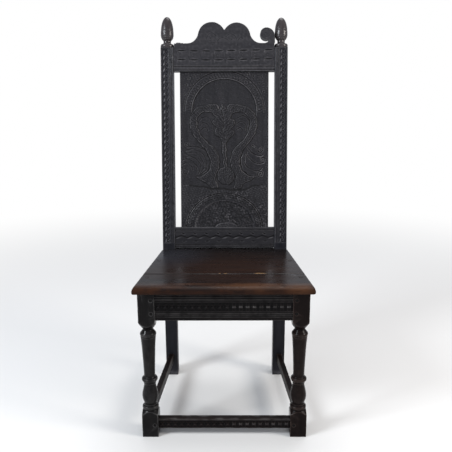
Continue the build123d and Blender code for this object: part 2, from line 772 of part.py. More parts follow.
def mould_edge(corner, outwards, depth, drop, length):
    """Thumb moulding along one straight edge: a long upper curve, a short lower one."""
    lower_drop = seat_thickness - drop
    edge_view = Plane(origin=corner, x_dir=outwards, z_dir=outwards.cross(Vector(0, 0, 1)))
    with BuildSketch(edge_view) as waste:
        with BuildLine():
            EllipticalCenterArc((-depth, -drop), depth, drop, start_angle=0, arc_size=90)
            Polyline((-depth, 0), (0, 0), (0, -drop))
        make_face()
        with BuildLine():
            EllipticalCenterArc((-nose_return, -drop), nose_return, lower_drop,
                                start_angle=-90, arc_size=90)
            Polyline((0, -drop), (0, -seat_thickness), (-nose_return, -seat_thickness))
        make_face()
    extrude(waste.sketch, amount=length, both=True, mode=Mode.SUBTRACT)


def seat_board(y_span):
    """Board of the seat between two places from front to back, with moulded edges."""
    with BuildPart() as board:
        corners = [(seat_half_width(y_span[0]), y_span[0]), (seat_half_width(y_span[1]), y_span[1])]
        with BuildSketch(Plane.XY.offset(seat_underside)):
            with BuildLine():
                Polyline((-corners[0][0], corners[0][1]), corners[0], corners[1],
                         (-corners[1][0], corners[1][1]), close=True)
            make_face()
        extrude(amount=seat_thickness)
        for side in (-1, 1):
            outwards = Vector(side, -seat_side_slope, 0).normalized()
            corner = (side * seat_half_width(post_front), post_front, seat_height)
            mould_edge(corner, outwards, side_nose_depth, side_nose_drop, frame_depth * 2)
    return board


with BuildPart() as front_seat_board:
    add(seat_board((seat_nose, board_joint - board_gap / 2)).part)
    mould_edge((0, seat_nose, seat_height), Vector(0, -1, 0), nose_depth, nose_drop, front_width)
    bar(front_view, (-front_width, front_width),
        (seat_height - scratch_depth, seat_height),
        middle((quirk_inset - front_overhang, quirk_inset - front_overhang), scratch_width),
        Mode.SUBTRACT)
    drill_seat_pegs()

with BuildPart() as rear_seat_board:
    add(seat_board((board_joint + board_gap / 2, post_back - seat_rear_inset)).part)
    for side in (-1, 1):
        bar(front_view, outward(side, post_inner - notch_clearance, front_width),
            (seat_underside, seat_height), (frame_depth - notch_clearance, 2 * frame_depth),
            Mode.SUBTRACT)
    drill_seat_pegs()


# ---------------------------------------------------------------- pegs
def pegs_of(*groups):
    """Pegs of several joints, each a separate solid."""
    with BuildPart() as pegs:
        for group in groups:
            for start, direction, length in group:
                rod(start, direction, peg_radius, length)
    return pegs


with BuildPart() as seat_pegs:
    for x, y in seat_peg_spots():
        rod((x, y, seat_height), (0, 0, -1), seat_peg_radius, seat_peg_length)

# ---------------------------------------------------------------- assembly
pieces = {
    "crest_rail": crest_rail,
    "lower_back_rail": lower_back_rail,
    "back_panel": back_panel,
    "front_seat_board": front_seat_board,
    "rear_seat_board": rear_seat_board,
    "front_seat_rail": front_seat_rail,
    "rear_seat_rail": rear_seat_rail,
    "front_stretcher": front_stretcher,
    "front_rail_pegs": pegs_of(front_rail_pegs(-1), front_rail_pegs(1)),
    "side_rail_pegs": pegs_of(side_rail_pegs(-1), side_rail_pegs(1)),
    "rear_rail_pegs": pegs_of(rear_rail_pegs(-1), rear_rail_pegs(1)),
    "lower_back_rail_pegs": pegs_of(back_rail_pegs(-1, lower_tenon_span),
                                    back_rail_pegs(1, lower_tenon_span)),
    "crest_rail_pegs": pegs_of(back_rail_pegs(-1, crest_tenon_span),
                               back_rail_pegs(1, crest_tenon_span)),
    "stretcher_pegs": pegs_of(stretcher_pegs(-1), stretcher_pegs(1)),
    "seat_pegs": seat_pegs,
}
for side, hand, height in ((-1, "left", left_finial_height), (1, "right", right_finial_height)):
    pieces[hand + "_front_leg"] = front_leg(side)
    pieces[hand + "_back_post"] = back_post(side)
    pieces[hand + "_finial"] = finial(side, height)
    pieces[hand + "_side_rail"] = side_seat_rail(side)
    pieces[hand + "_side_stretcher"] = side_stretcher(side)

os.makedirs("parts", exist_ok=True)
for name, piece in pieces.items():
    piece.part.label = name
    export_step(piece.part, f"parts/{name}.step")
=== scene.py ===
import math
import bpy
import numpy as np
from mathutils import Matrix, Vector


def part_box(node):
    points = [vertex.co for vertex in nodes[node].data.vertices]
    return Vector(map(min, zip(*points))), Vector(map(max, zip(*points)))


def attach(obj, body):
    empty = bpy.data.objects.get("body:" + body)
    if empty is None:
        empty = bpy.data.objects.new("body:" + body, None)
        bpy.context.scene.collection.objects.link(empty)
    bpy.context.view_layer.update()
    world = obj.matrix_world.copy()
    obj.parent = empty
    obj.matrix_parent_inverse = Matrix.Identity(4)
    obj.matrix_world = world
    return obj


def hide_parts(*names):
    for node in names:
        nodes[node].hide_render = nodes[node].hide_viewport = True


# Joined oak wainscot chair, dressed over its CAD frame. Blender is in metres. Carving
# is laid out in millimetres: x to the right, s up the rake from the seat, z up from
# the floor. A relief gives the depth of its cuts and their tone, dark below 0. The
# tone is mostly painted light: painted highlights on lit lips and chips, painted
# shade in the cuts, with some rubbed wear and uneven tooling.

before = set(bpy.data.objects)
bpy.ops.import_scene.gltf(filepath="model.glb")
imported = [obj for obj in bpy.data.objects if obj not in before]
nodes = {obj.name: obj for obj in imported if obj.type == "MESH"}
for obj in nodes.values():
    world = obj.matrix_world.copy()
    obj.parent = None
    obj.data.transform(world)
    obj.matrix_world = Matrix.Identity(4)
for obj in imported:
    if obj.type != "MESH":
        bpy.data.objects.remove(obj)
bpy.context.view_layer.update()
scene = bpy.context.scene
scene.view_settings.view_transform = "Standard"
MM = 0.001
SKIN = 0.15              # dressed surfaces lie this far inside the CAD
SIDE_PARTS = 5           # points along a plain side of a squared bar
SIDEWAYS = (1, 0, 0)

# ------------ places read from the frame
leg_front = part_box("left_front_leg")[0].y
leg_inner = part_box("right_front_leg")[0].x
post_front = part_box("left_back_post")[0].y
post_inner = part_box("right_back_post")[0].x
post_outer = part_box("right_back_post")[1].x
seat_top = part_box("rear_seat_board")[1].z
seat_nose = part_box("front_seat_board")[0].y
board_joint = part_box("front_seat_board")[1].y

# ------------ sizes of the back, in mm
RAKE = math.radians(8.5)
POST_RISE = 643          # along the rake, from the seat
POST_DEPTH = 40
RAIL_FACE = 3            # faces of the back's rails behind those of the posts
RAIL_THICK = 26
PANEL_FACE = 12
PANEL_THICK = 12
PANEL_HALF = 142
LOWER_RAIL_TOP = 71
LOWER_RAIL_BOTTOM = 5.3
CREST_BOTTOM = 569

# Panel: arch with a row of leaves, sunk ground, lunette with punched rows and a fan
ARCH_CENTRE = 443.5
ARCH_INNER = 104
ARCH_OUTER = 128
LEAVES_RADIUS = 116
LEAVES_PITCH = 9.4
GROUND_DEPTH = 2.6
WANDER = 1.3             # of outlines, as cut by hand
LUNETTE_INNER = (98, 87)
LUNETTE_OUTER = (123, 111)
PUNCH_RADIUS = 108
PUNCH_PITCH = 10.4
PUNCH_ROWS = ((1.00, 0.0), (1.075, 0.5), (1.14, 0.2))     # share of the radius, shift
CROWN = (12, 52)         # painted glints brightest here: across, and above the lower rail
SPANDREL_TOP = 198
FAN_MIDDLE = 6
FAN_REACH = 34
FAN_FLATNESS = 2.4

# The back's own axes: x to the right, y up the rake, z towards the viewer.
back_axes = Matrix.Translation((0, post_front, seat_top)) @ Matrix.Rotation(
    math.pi / 2 - RAKE, 4, "X")
up_back = tuple(back_axes.to_3x3() @ Vector((0, 1, 0)))
into_back = tuple(back_axes.to_3x3() @ Vector((0, 0, -1)))


def on_back(x, s, behind=0):
    """Place in metres, from mm across the back, up its rake and behind the posts' faces."""
    return tuple(back_axes @ Vector((x * MM, s * MM, -behind * MM)))


# ------------ small tools
def smooth(value, low, high):
    """Soft step from 0 at low to 1 at high."""
    t = np.clip((value - low) / (high - low), 0, 1)
    return t * t * (3 - 2 * t)


def ripple(columns, wavelength, seed, waves=10):
    """Smooth seeded noise in about -1..1, at points given by a column for each axis."""
    own = np.random.default_rng(seed)
    points = np.column_stack(columns)
    total = np.zeros(len(points))
    for _ in range(waves):
        way = own.normal(size=points.shape[1])
        way *= 2 * math.pi / (wavelength * own.uniform(0.6, 1.7) * np.linalg.norm(way))
        total += np.sin(points @ way + own.uniform(0, 2 * math.pi))
    return total / math.sqrt(waves)


def curve_through(points, closed=False):
    """Rounded line through a few points."""
    p = np.array(points, float)
    if closed:
        p = np.vstack([p[-1:], p, p[:2]])
    else:
        p = np.vstack([2 * p[0] - p[1], p, 2 * p[-1] - p[-2]])
    t = np.arange(0, 1, 0.25)[:, None]
    runs = []
    for a, b, c, d in zip(p[:-3], p[1:-2], p[2:-1], p[3:]):
        runs.append(0.5 * (2 * b + (c - a) * t + (2 * a - 5 * b + 4 * c - d) * t ** 2
                           + (3 * b - a - 3 * c + d) * t ** 3))
    if not closed:
        runs.append(p[-2:-1])
    return np.vstack(runs)


def distance_to(x, s, line, closed=False):
    """Distance of every place from a line of points."""
    ends = np.roll(line, -1, axis=0) if closed else line[1:]
    starts = line if closed else line[:-1]
    nearest = np.full(x.shape, 1e9)
    for (ax, ay), (bx, by) in zip(starts, ends):
        dx, dy = bx - ax, by - ay
        t = np.clip(((x - ax) * dx + (s - ay) * dy) / (dx * dx + dy * dy + 1e-9), 0, 1)
        nearest = np.minimum(nearest, np.hypot(x - ax - t * dx, s - ay - t * dy))
    return nearest


def from_curve(x, s, points):
    """Distance of every place from the rounded line through a few points."""
    return distance_to(x, s, curve_through(points))


def inside(x, s, outline):
    """True where a place is inside a closed outline."""
    within = np.zeros(x.shape, bool)
    for (ax, ay), (bx, by) in zip(outline, np.roll(outline, -1, axis=0)):
        if ay == by:
            continue
        within ^= ((ay > s) != (by > s)) & (x < (bx - ax) * (s - ay) / (by - ay) + ax)
    return within


def polar(x, y):
    """Distance and angle of a place from the origin."""
    return np.hypot(x, y), np.arctan2(y, x)


def most(*values):
    """The largest of several values at each place."""
    return np.maximum.reduce(values)


def vee(distance, width, depth=1):
    """V-cut of a parting tool along a line."""
    return depth * np.clip(1 - 2 * np.abs(distance) / width, 0, 1)


def scoop(distance, width, depth=1):
    """Round-bottomed gouge cut along a line."""
    return depth * np.clip(1 - (2 * distance / width) ** 2, 0, 1)


def lens(x, y, length, height):
    """Pointed chip, deepest along its middle."""
    half = height / 2 * np.clip(1 - (2 * x / length) ** 2, 0, 1)
    return np.clip(1 - np.abs(y) / (half + 1e-6), 0, 1) * (half > 0.05)


def in_unit(place, pitch, shift=0.0):
    """Place inside a repeating unit, from minus to plus half its pitch."""
    return (np.mod(place / pitch + shift, 1) - 0.5) * pitch


def scratched_lines(across, places, width):
    """Lines of a scratch stock, at places across the face."""
    return most(*[scoop(across - place, width) for place in places])


# ------------ making pieces
def placed(name, mesh, node):
    """A smooth piece on the chair, in place of a CAD node."""
    piece = bpy.data.objects.new(name, mesh)
    scene.collection.objects.link(piece)
    mesh.shade_smooth()
    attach(piece, "root")
    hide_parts(node)
    return piece


def vectors(source, field):
    """Places or normals of a mesh's points, one row each."""
    numbers = np.empty(len(source) * 3)
    source.foreach_get(field, numbers)
    return numbers.reshape(-1, 3)


def note(mesh, name, values):
    """Keeps a number at each point for the material to read."""
    layer = mesh.attributes.new(name, "FLOAT", "POINT")
    layer.data.foreach_set("value", np.asarray(values, np.float32))


def bends(mesh, rounds=2):
    """How sharply the surface turns at each point: below 0 on edges, above 0 in hollows."""
    points = vectors(mesh.vertices, "co")
    normals = vectors(mesh.vertex_normals, "vector")
    edges = np.empty(len(mesh.edges) * 2, int)
    mesh.edges.foreach_get("vertices", edges)
    a, b = edges.reshape(-1, 2).T
    both, other = np.concatenate([a, b]), np.concatenate([b, a])
    count = np.maximum(np.bincount(both, minlength=len(points)), 1)
    away = points[other] - points[both]
    length = np.bincount(both, np.linalg.norm(away, axis=1), len(points)) / count
    turn = np.zeros(len(points))
    for axis in range(3):
        turn += np.bincount(both, away[:, axis], len(points)) / count * normals[:, axis]
    turn /= np.maximum(length, 1e-6)
    for _ in range(rounds):
        turn = (turn + np.bincount(both, turn[other], len(points)) / count) / 2
    return turn


def keep_wear_and_painted_light(mesh, tone):
    """Stores rubbed edges, and darkening in hollows that is grime with painted shade; tone adds
    the carving's painted highlights and shade.
    """
    turn = bends(mesh)
    note(mesh, "edge", np.clip(-turn * 5 + tone, 0, 1))
    note(mesh, "hollow", np.clip(turn * 5 - tone, 0, 1))


def swept(name, stations, low, high, depth, face_step, node, oak, relief,
          corner, seed, wear=0.5):
    """Squared bar with a finely divided face.

    stations are (origin, across, inwards, along) in metres with along in mm. The face
    runs from low to high across it, in mm, and relief(across, along) gives its cuts in
    mm and their tone, from -1 for grime and painted shade to 1 for rubbed wood and
    painted highlights.
    """
    low, high, depth = low + SKIN, high - SKIN, depth - SKIN
    left, right, front, rear = low + corner, high - corner, SKIN + corner, depth - corner
    side = np.linspace(front, rear, SIDE_PARTS)
    turn = np.linspace(0, math.pi / 2, 4)[1:-1]

    def rounded(u, v, start):
        """A corner of the section, turning about (u, v) from its starting angle."""
        return [(u + corner * math.cos(start + a), v + corner * math.sin(start + a), 0, 1)
                for a in turn]

    face = np.linspace(left, right, int((high - low) / face_step))
    ring = [(u, SKIN, 1, 0) for u in face]
    ring += rounded(right, front, -math.pi / 2)
    ring += [(high, v, 0, 0) for v in side]
    ring += rounded(right, rear, 0)
    ring += [(u, depth, 0, 0) for u in np.linspace(right, left, SIDE_PARTS)]
    ring += rounded(left, rear, math.pi / 2)
    ring += [(low, v, 0, 0) for v in side[::-1]]
    ring += rounded(left, front, math.pi)
    count, size = len(stations), len(ring)
    across, inwards, on_face, on_corner = np.tile(np.array(ring).T, count)
    origins, ways, ins, along = [np.repeat(np.array(part, float), size, axis=0)
                                 for part in zip(*stations)]
    faced = on_face > 0
    cut, tone = np.zeros(len(along)), np.zeros(len(along))
    cut[faced], tone[faced] = relief(across[faced], along[faced])
    places = (across, inwards, along)
    worn = on_corner * wear * smooth(ripple(places, 28, seed), -0.6, 1.6)
    uneven = 0.12 * (1 + ripple(places, 45, seed + 1)) * faced
    a = across + worn * np.sign((low + high) / 2 - across)
    d = inwards + cut + worn * np.sign(depth / 2 - inwards) + uneven
    points = origins + a[:, None] * MM * ways + d[:, None] * MM * ins
    first = np.arange(count - 1)[:, None] * size
    i = np.arange(size)[None, :]
    j = (i + 1) % size
    quads = np.stack([first + i, first + j, first + size + j, first + size + i], -1)
    faces = quads.reshape(-1, 4).tolist()
    faces.append(list(range(size))[::-1])
    faces.append(list(range((count - 1) * size, count * size)))
    mesh = bpy.data.meshes.new(name)
    mesh.from_pydata(points.tolist(), [], faces)
    mesh.validate()
    mesh.update()
    keep_wear_and_painted_light(mesh, tone)
    mesh.materials.append(oak)
    return placed(name, mesh, node)


def straight(start, end, up, inwards, reach):
    """Stations 1 mm apart along a level bar, from its right end to its left."""
    count = int(2 * reach) + 1
    t = np.linspace(0, 1, count)[:, None]
    origins = np.array(start) * (1 - t) + np.array(end) * t
    places = np.linspace(-reach, reach, count)
    return [(origin, up, inwards, place) for origin, place in zip(origins, places)][::-1]


def with_modifiers(piece):
    """A new mesh of a piece as its modifiers leave it."""
    view = bpy.context.evaluated_depsgraph_get()
    return bpy.data.meshes.new_from_object(piece.evaluated_get(view))


def remeshed(name, node, oak, voxel, keep, seed, wear, shape=None,
             axes=Matrix.Identity(4)):
    """Worn copy of a CAD node on an even skin; shape moves its points in the given axes."""
    mesh = nodes[node].data.copy()
    mesh.transform(axes.inverted())
    rough = bpy.data.objects.new("rough", mesh)
    scene.collection.objects.link(rough)
    skin = rough.modifiers.new("skin", "REMESH")
    skin.mode = "VOXEL"
    skin.voxel_size = voxel * MM
    even = with_modifiers(rough)
    even.name = name
    even.materials.clear()
    bpy.data.objects.remove(rough)
    bpy.data.meshes.remove(mesh)
    points = vectors(even.vertices, "co") / MM
    normals = vectors(even.vertex_normals, "vector")
    turn = bends(even)
    rub = wear * np.clip(-turn * 4, 0, 1) * smooth(ripple(points.T, 24, seed), -0.8, 1.4)
    points = points - normals * (SKIN + rub)[:, None]
    tone = 0.0
    if shape is not None:
        points, tone = shape(points, normals)
    even.vertices.foreach_set("co", (points * MM).ravel())
    even.transform(axes)
    even.update()
    keep_wear_and_painted_light(even, tone)
    piece = placed(name, even, node)
    thinned(piece, keep)
    piece.data.materials.append(oak)
    return piece


def thinned(piece, keep):
    """Leaves a piece fewer faces, where its surface is plain."""
    piece.modifiers.new("fewer", "DECIMATE").ratio = keep
    full, mesh = piece.data, with_modifiers(piece)
    name = full.name
    piece.modifiers.clear()
    piece.data = mesh
    bpy.data.meshes.remove(full)
    mesh.name = name
    mesh.shade_smooth()


# ------------ carving of the panel
def centre_line(s):
    """The carver's middle line leans a little."""
    return 4 - 0.04 * (s - 230)


# Right-hand beast, from its snout over the back of the neck, down to the tail and
# up the breast; distances from the middle line and heights along the rake.
BEAST = [
    (20, 467), (50, 465), (78, 459), (98, 442), (107, 418), (107, 394), (99, 371),
    (80, 345), (61, 322), (50, 300), (46, 282), (50, 263), (60, 248), (76, 238),
    (96, 234), (84, 226), (66, 218), (54, 208), (46, 198), (28, 197),
    (28, 211), (34, 226), (30, 243), (23, 258), (19, 274), (18, 292), (27, 318),
    (43, 336), (65, 358), (80, 382), (86, 405), (82, 427), (69, 438), (50, 443),
    (34, 440), (24, 430), (17, 440), (14, 454),
]
MANE_LINE = [(24, 458), (52, 457), (80, 450), (97, 434)]
EYE = (36, 454)
PLUMES = [
    [(-118, 330), (-88, 333), (-62, 319), (-49, 294), (-49, 268), (-62, 247), (-92, 237)],
    [(-124, 321), (-96, 323), (-72, 310), (-59, 288), (-58, 266), (-70, 248), (-92, 240)],
    [(-129, 311), (-102, 313), (-80, 301), (-68, 282), (-67, 264), (-78, 249)],
    [(-133, 300), (-108, 302), (-89, 291), (-78, 274), (-77, 259), (-86, 246)],
    [(-136, 289), (-114, 290), (-98, 280), (-89, 266), (-90, 252)],
    [(-138, 277), (-120, 278), (-107, 268), (-103, 256)],
    [(-140, 262), (-130, 264), (-119, 257), (-122, 246), (-132, 246)],
    [(58, 312), (52, 292), (54, 270), (64, 250), (82, 238), (100, 236)],
    [(66, 306), (66, 286), (74, 268), (90, 257), (108, 254), (120, 262)],
    [(72, 316), (80, 296), (94, 282), (112, 276), (128, 282)],
    [(78, 328), (90, 312), (106, 302), (124, 304)],
]
CURLS = [(117, 244, 12, 1.0), (122, 292, 8, -1.0), (118, 322, 10, -1.0), (94, 331, 7, 1.0),
         (-122, 338, 8, 1.0), (-130, 246, 9, -1.0)]
LEAF_STROKES = [
    [(-88, 404), (-74, 424), (-52, 424), (-38, 404), (-34, 386)],
    [(-84, 392), (-70, 408), (-54, 404), (-46, 388)],
    [(-76, 384), (-64, 392), (-54, 384)],
    [(40, 424), (60, 430), (78, 416), (80, 396)],
    [(38, 404), (56, 412), (70, 400), (70, 382)],
    [(40, 386), (52, 394), (60, 384)],
    [(-28, 452), (-14, 458), (-6, 450)], [(12, 452), (22, 460), (34, 452)],
]
PALMETTE = [
    (0, 340), (9, 348), (16, 358), (29, 368), (32, 382), (25, 391), (34, 402), (36, 416),
    (24, 420), (26, 434), (15, 442), (9, 456), (0, 468), (-8, 457), (-16, 444), (-26, 436),
    (-23, 421), (-34, 414), (-31, 402), (-22, 394), (-29, 380), (-25, 366), (-13, 360),
    (-9, 349),
]
ROSE = (4, 230)
STALK = [(0, 346), (-1, 320), (0, 292), (0, 264)]
VASE = [(-7, 266), (7, 266), (22, 259), (27, 240), (25, 224), (12, 212), (0, 209), (-12, 212),
        (-23, 224), (-25, 240), (-20, 258)]
SPANDREL_NICKS = [(-94, 556), (94, 556), (-76, 562), (78, 562), (-120, 528), (112, 532),
                  (-126, 500), (126, 506), (-112, 548), (118, 552)]
GROUND_LINE = [(-114, 207), (-84, 203), (-60, 201), (-40, 195), (-8, 197), (20, 191),
               (48, 191), (74, 196), (96, 206), (112, 204)]


def cells(x, s, pitch, radius, seed):
    """Distance from the nearest of many scattered marks, and that mark's random number."""
    own = np.random.default_rng(seed)
    table = own.uniform(-0.5, 0.5, (64, 64, 2)) * (pitch - 2 * radius)
    lot = own.uniform(0, 1, (64, 64))
    i = np.floor(x / pitch).astype(int)
    j = np.floor(s / pitch + 0.5 * (i % 2)).astype(int)
    shift = table[i % 64, j % 64]
    dx = x - (i + 0.5) * pitch - shift[:, 0]
    dy = s - (j + 0.5 - 0.5 * (i % 2)) * pitch - shift[:, 1]
    return np.hypot(dx, dy), lot[i % 64, j % 64]


def arch_band(x, s):
    """Arch over the field, with leaf notches between its two rims: cut, and tone with painted
    highlights on the notches' lips and painted shade in lines and notches.
    """
    r, angle = polar(x, s - ARCH_CENTRE)
    over = smooth(s, ARCH_CENTRE - 22, ARCH_CENTRE + 8)
    lines = most(vee(r - ARCH_OUTER, 4), 0.8 * vee(r - ARCH_INNER - 3.5, 3))
    unit = LEAVES_PITCH / LEAVES_RADIUS
    out = r - LEAVES_RADIUS
    slant = (np.mod(angle, unit) / unit - 0.5 - out / 32) * LEAVES_PITCH
    notch = lens(out, slant, 17, 5.0)
    lip = lens(out, slant - 2.6, 15, 2.4)
    patches = smooth(ripple((x, s), 50, 17), -0.8, 1.2)
    return (most(1.9 * lines, 0.9 * notch) * over,
            (0.22 * lip * patches - most(lines, 0.4 * notch * (0.3 + patches))) * over)


def raised(u, s, points):
    """How far a place stands up inside an outline, 0..1, and its distance from the rim."""
    outline = curve_through(points, closed=True)
    rim = distance_to(u, s, outline, closed=True)
    rim = np.where(inside(u, s, outline), rim, -rim)
    return smooth(rim, -0.6, 2.0), rim


def beast(u, s):
    """One long-necked beast: standing height 0..1, the cuts on it and its rim."""
    body, rim = raised(u, s, BEAST)
    cuts = most(0.6 * vee(rim - 3.6, 2.4), 0.8 * vee(from_curve(u, s, MANE_LINE), 2.8),
                scoop(np.hypot(u - EYE[0], s - EYE[1]), 6))
    return body, cuts * (rim > 0), rim


def plumes(x, s):
    """Feathers of the wings and the small curls beside them: cuts and lit lips, 0..1."""
    cuts, lips = np.zeros(x.shape), np.zeros(x.shape)
    for plume in PLUMES:
        cuts = most(cuts, vee(from_curve(x, s, plume), 4.6))
        lips = most(lips, vee(from_curve(x - 1.8, s + 1.8, plume), 3.4))
    for curl_x, curl_s, reach, hand in CURLS:
        r, angle = polar(x - curl_x, s - curl_s)
        turn = np.mod(r - hand * 0.9 * angle + 1, 5.65)
        cuts = most(cuts, vee(turn - 2.8, 3.2) * (r < reach))
        lips = most(lips, vee(turn - 5.2, 2.0, 0.8) * (r < reach))
    return cuts, lips * (1 - cuts)


def central_plant(u, s):
    """Palmette on a stalk, rising from a small vase with a rosette."""
    leaf, leaf_rim = raised(u, s, PALMETTE)
    rib = u - 2.5 * np.sin(s / 9)
    veins = 0.8 * vee(np.mod(s - 1.3 * np.abs(rib) + 5, 14) - 7, 3.2)
    cuts = most(veins, vee(rib, 3.4)) * (s > 350)
    cuts = most(cuts, 0.5 * vee(leaf_rim - 2.8, 2.2)) * (leaf_rim > 0)
    vase, rim = raised(u, s, VASE)
    rose, petal = polar(u - ROSE[0], s - ROSE[1])
    strands = 0.9 * vee(np.abs(np.mod(u + 3, 6) - 3), 3.0)
    line = from_curve(u, s, STALK)
    cuts = most(cuts, 0.5 * vee(rim - 2.6, 2.2) * (rim > 0),
                vee(rose - 11 - np.cos(6 * petal), 3.0),
                vee(np.sin(3 * petal) * rose, 2.8) * (rose < 10) * (rose > 2),
                strands * (rim > 1) * (s > 244) * (s < 259),
                0.9 * scoop(line, 3.4) * (s < 344) * (s > 266))
    height = most(leaf * 0.92, vase * 0.95, smooth(6 - line, -0.6, 2.0) * 0.85)
    return height, cuts, most(leaf_rim, rim, 6 - line)


def field_cover(x, s):
    """1 on the sunk field under the arch, 0 off it, with soft sides below the springing."""
    foot_x, foot_s = zip(*GROUND_LINE)
    under_arch = smooth(ARCH_INNER - np.hypot(x, s - ARCH_CENTRE), 0, 1.6)
    below = smooth(ARCH_CENTRE + 6 - s, 0, 34) * smooth(PANEL_HALF - np.abs(x), 2, 20)
    return most(under_arch, below) * smooth(s - np.interp(x, foot_x, foot_s), 0, 2.4)


def feathers(x, s, patches, right):
    """Feathers and leaf strokes, stronger where patches and right say: cuts and lit lips."""
    cuts, lips = plumes(x, s)
    for stroke in LEAF_STROKES:
        cuts = most(cuts, vee(from_curve(x, s, stroke), 4.2, 0.75))
    return cuts * (0.30 + 0.45 * patches + 0.45 * right), lips * (0.55 + 1.25 * right)


def arch_edge(x, s, right):
    """Lit lip and shade where the sunk field meets the arch."""
    rim = np.hypot(x, s - ARCH_CENTRE) - ARCH_INNER
    lip = vee(rim - 1.2, 2.6) * smooth(s, ARCH_CENTRE - 10, ARCH_CENTRE + 10)
    shade = vee(rim + 1.6, 3.6) * smooth(s, ARCH_CENTRE, ARCH_CENTRE + 20)
    # The painted highlight is brighter towards the right.
    return lip * (0.5 + 0.9 * right), shade


def panel_relief(x, s):
    """Carved depth of the panel, and its tone: painted highlights on lit lips, stronger to the
    right, and painted shade in cuts and outlines.
    """
    places = (x, s)
    patches = 0.12 + 0.88 * smooth(ripple(places, 30, 12), -0.5, 1.3)
    tooling = ripple((x / 1.5, s + 3 * ripple(places, 40, 14)), 4.4, 13)
    ground = GROUND_DEPTH + 0.4 * tooling + 0.3 * ripple(places, 16, 5)
    hand_x = x + WANDER * ripple(places, 26, 61)
    hand_s = s + WANDER * ripple(places, 26, 62)
    u = hand_x - centre_line(hand_s)
    # Light is taken to fall from the right: lips are painted brighter and feathers cut deeper
    # there.
    right = smooth(hand_x, -40, 40)
    figure, lines, rims = np.zeros(x.shape), np.zeros(x.shape), np.full(x.shape, -99.0)
    for height, cuts, rim in (beast(u, hand_s), beast(-u, hand_s), central_plant(u, hand_s)):
        figure = most(figure, height)
        lines = most(lines, cuts)
        rims = most(rims, rim)
    off_body = smooth(1.5 - rims, 0, 2)
    rubbed = smooth(ripple(places, 34, 18), -0.9, 0.7)
    feather_cuts, feather_lips = feathers(hand_x, hand_s, rubbed, right)
    cut = field_cover(x, s) * ground + off_body * (2.1 * feather_cuts - 0.7 * feather_lips)
    strokes = np.abs(np.mod(0.5 * s - 0.8 * np.abs(u) + 2.5 * ripple(places, 30, 7), 6) - 3)
    hairs = vee(strokes, 2.8)
    top = 0.6 + 0.25 * ripple(places, 9, 6) + most(1.7 * lines, 0.6 * hairs)
    cut = np.where(figure > 0.02, cut * (1 - figure) + figure * top, cut)
    foot = from_curve(x, s, GROUND_LINE)
    cut = most(cut, vee(foot, 3.6, 2.2))
    # Painted highlights on the lips of figures and arch, painted shade in outlines, cuts and
    # along the ground line; both fainter at the tops of the necks.
    fainter_at_top = 1 - 0.75 * smooth(s, 446, 456) * (rims > -4)
    lip = fainter_at_top * vee(rims - 1.3, 2.8)
    arch_lip, arch_shade = arch_edge(x, s, right)
    tone = 0.48 * most(lip, arch_lip) * patches + 0.28 * tooling * (1 - figure) - 0.10
    lit = 0.75 * most(patches, 0.75 * right) * feather_lips
    tone += (lit - 0.9 * feather_cuts) * off_body
    dark = most(fainter_at_top * vee(rims + 1.2, 3.6), 0.9 * arch_shade)
    tone -= most(dark, np.minimum(vee(foot, 7.5, 1.8), 1))
    tone -= (0.7 * lines + 0.45 * hairs - 0.10 * ripple(places, 7, 16)) * figure
    band_cut, band_tone = arch_band(x, s)
    cut = most(cut, band_cut)
    tone += band_tone
    for nx, ns in SPANDREL_NICKS:
        nick = lens(s - ns, x - nx - 0.3 * (s - ns), 9, 5)
        cut = most(cut, 2.4 * nick)
        tone -= nick
    low_cut, low_tone = lunette(x, s)
    return most(cut, low_cut), tone + low_tone


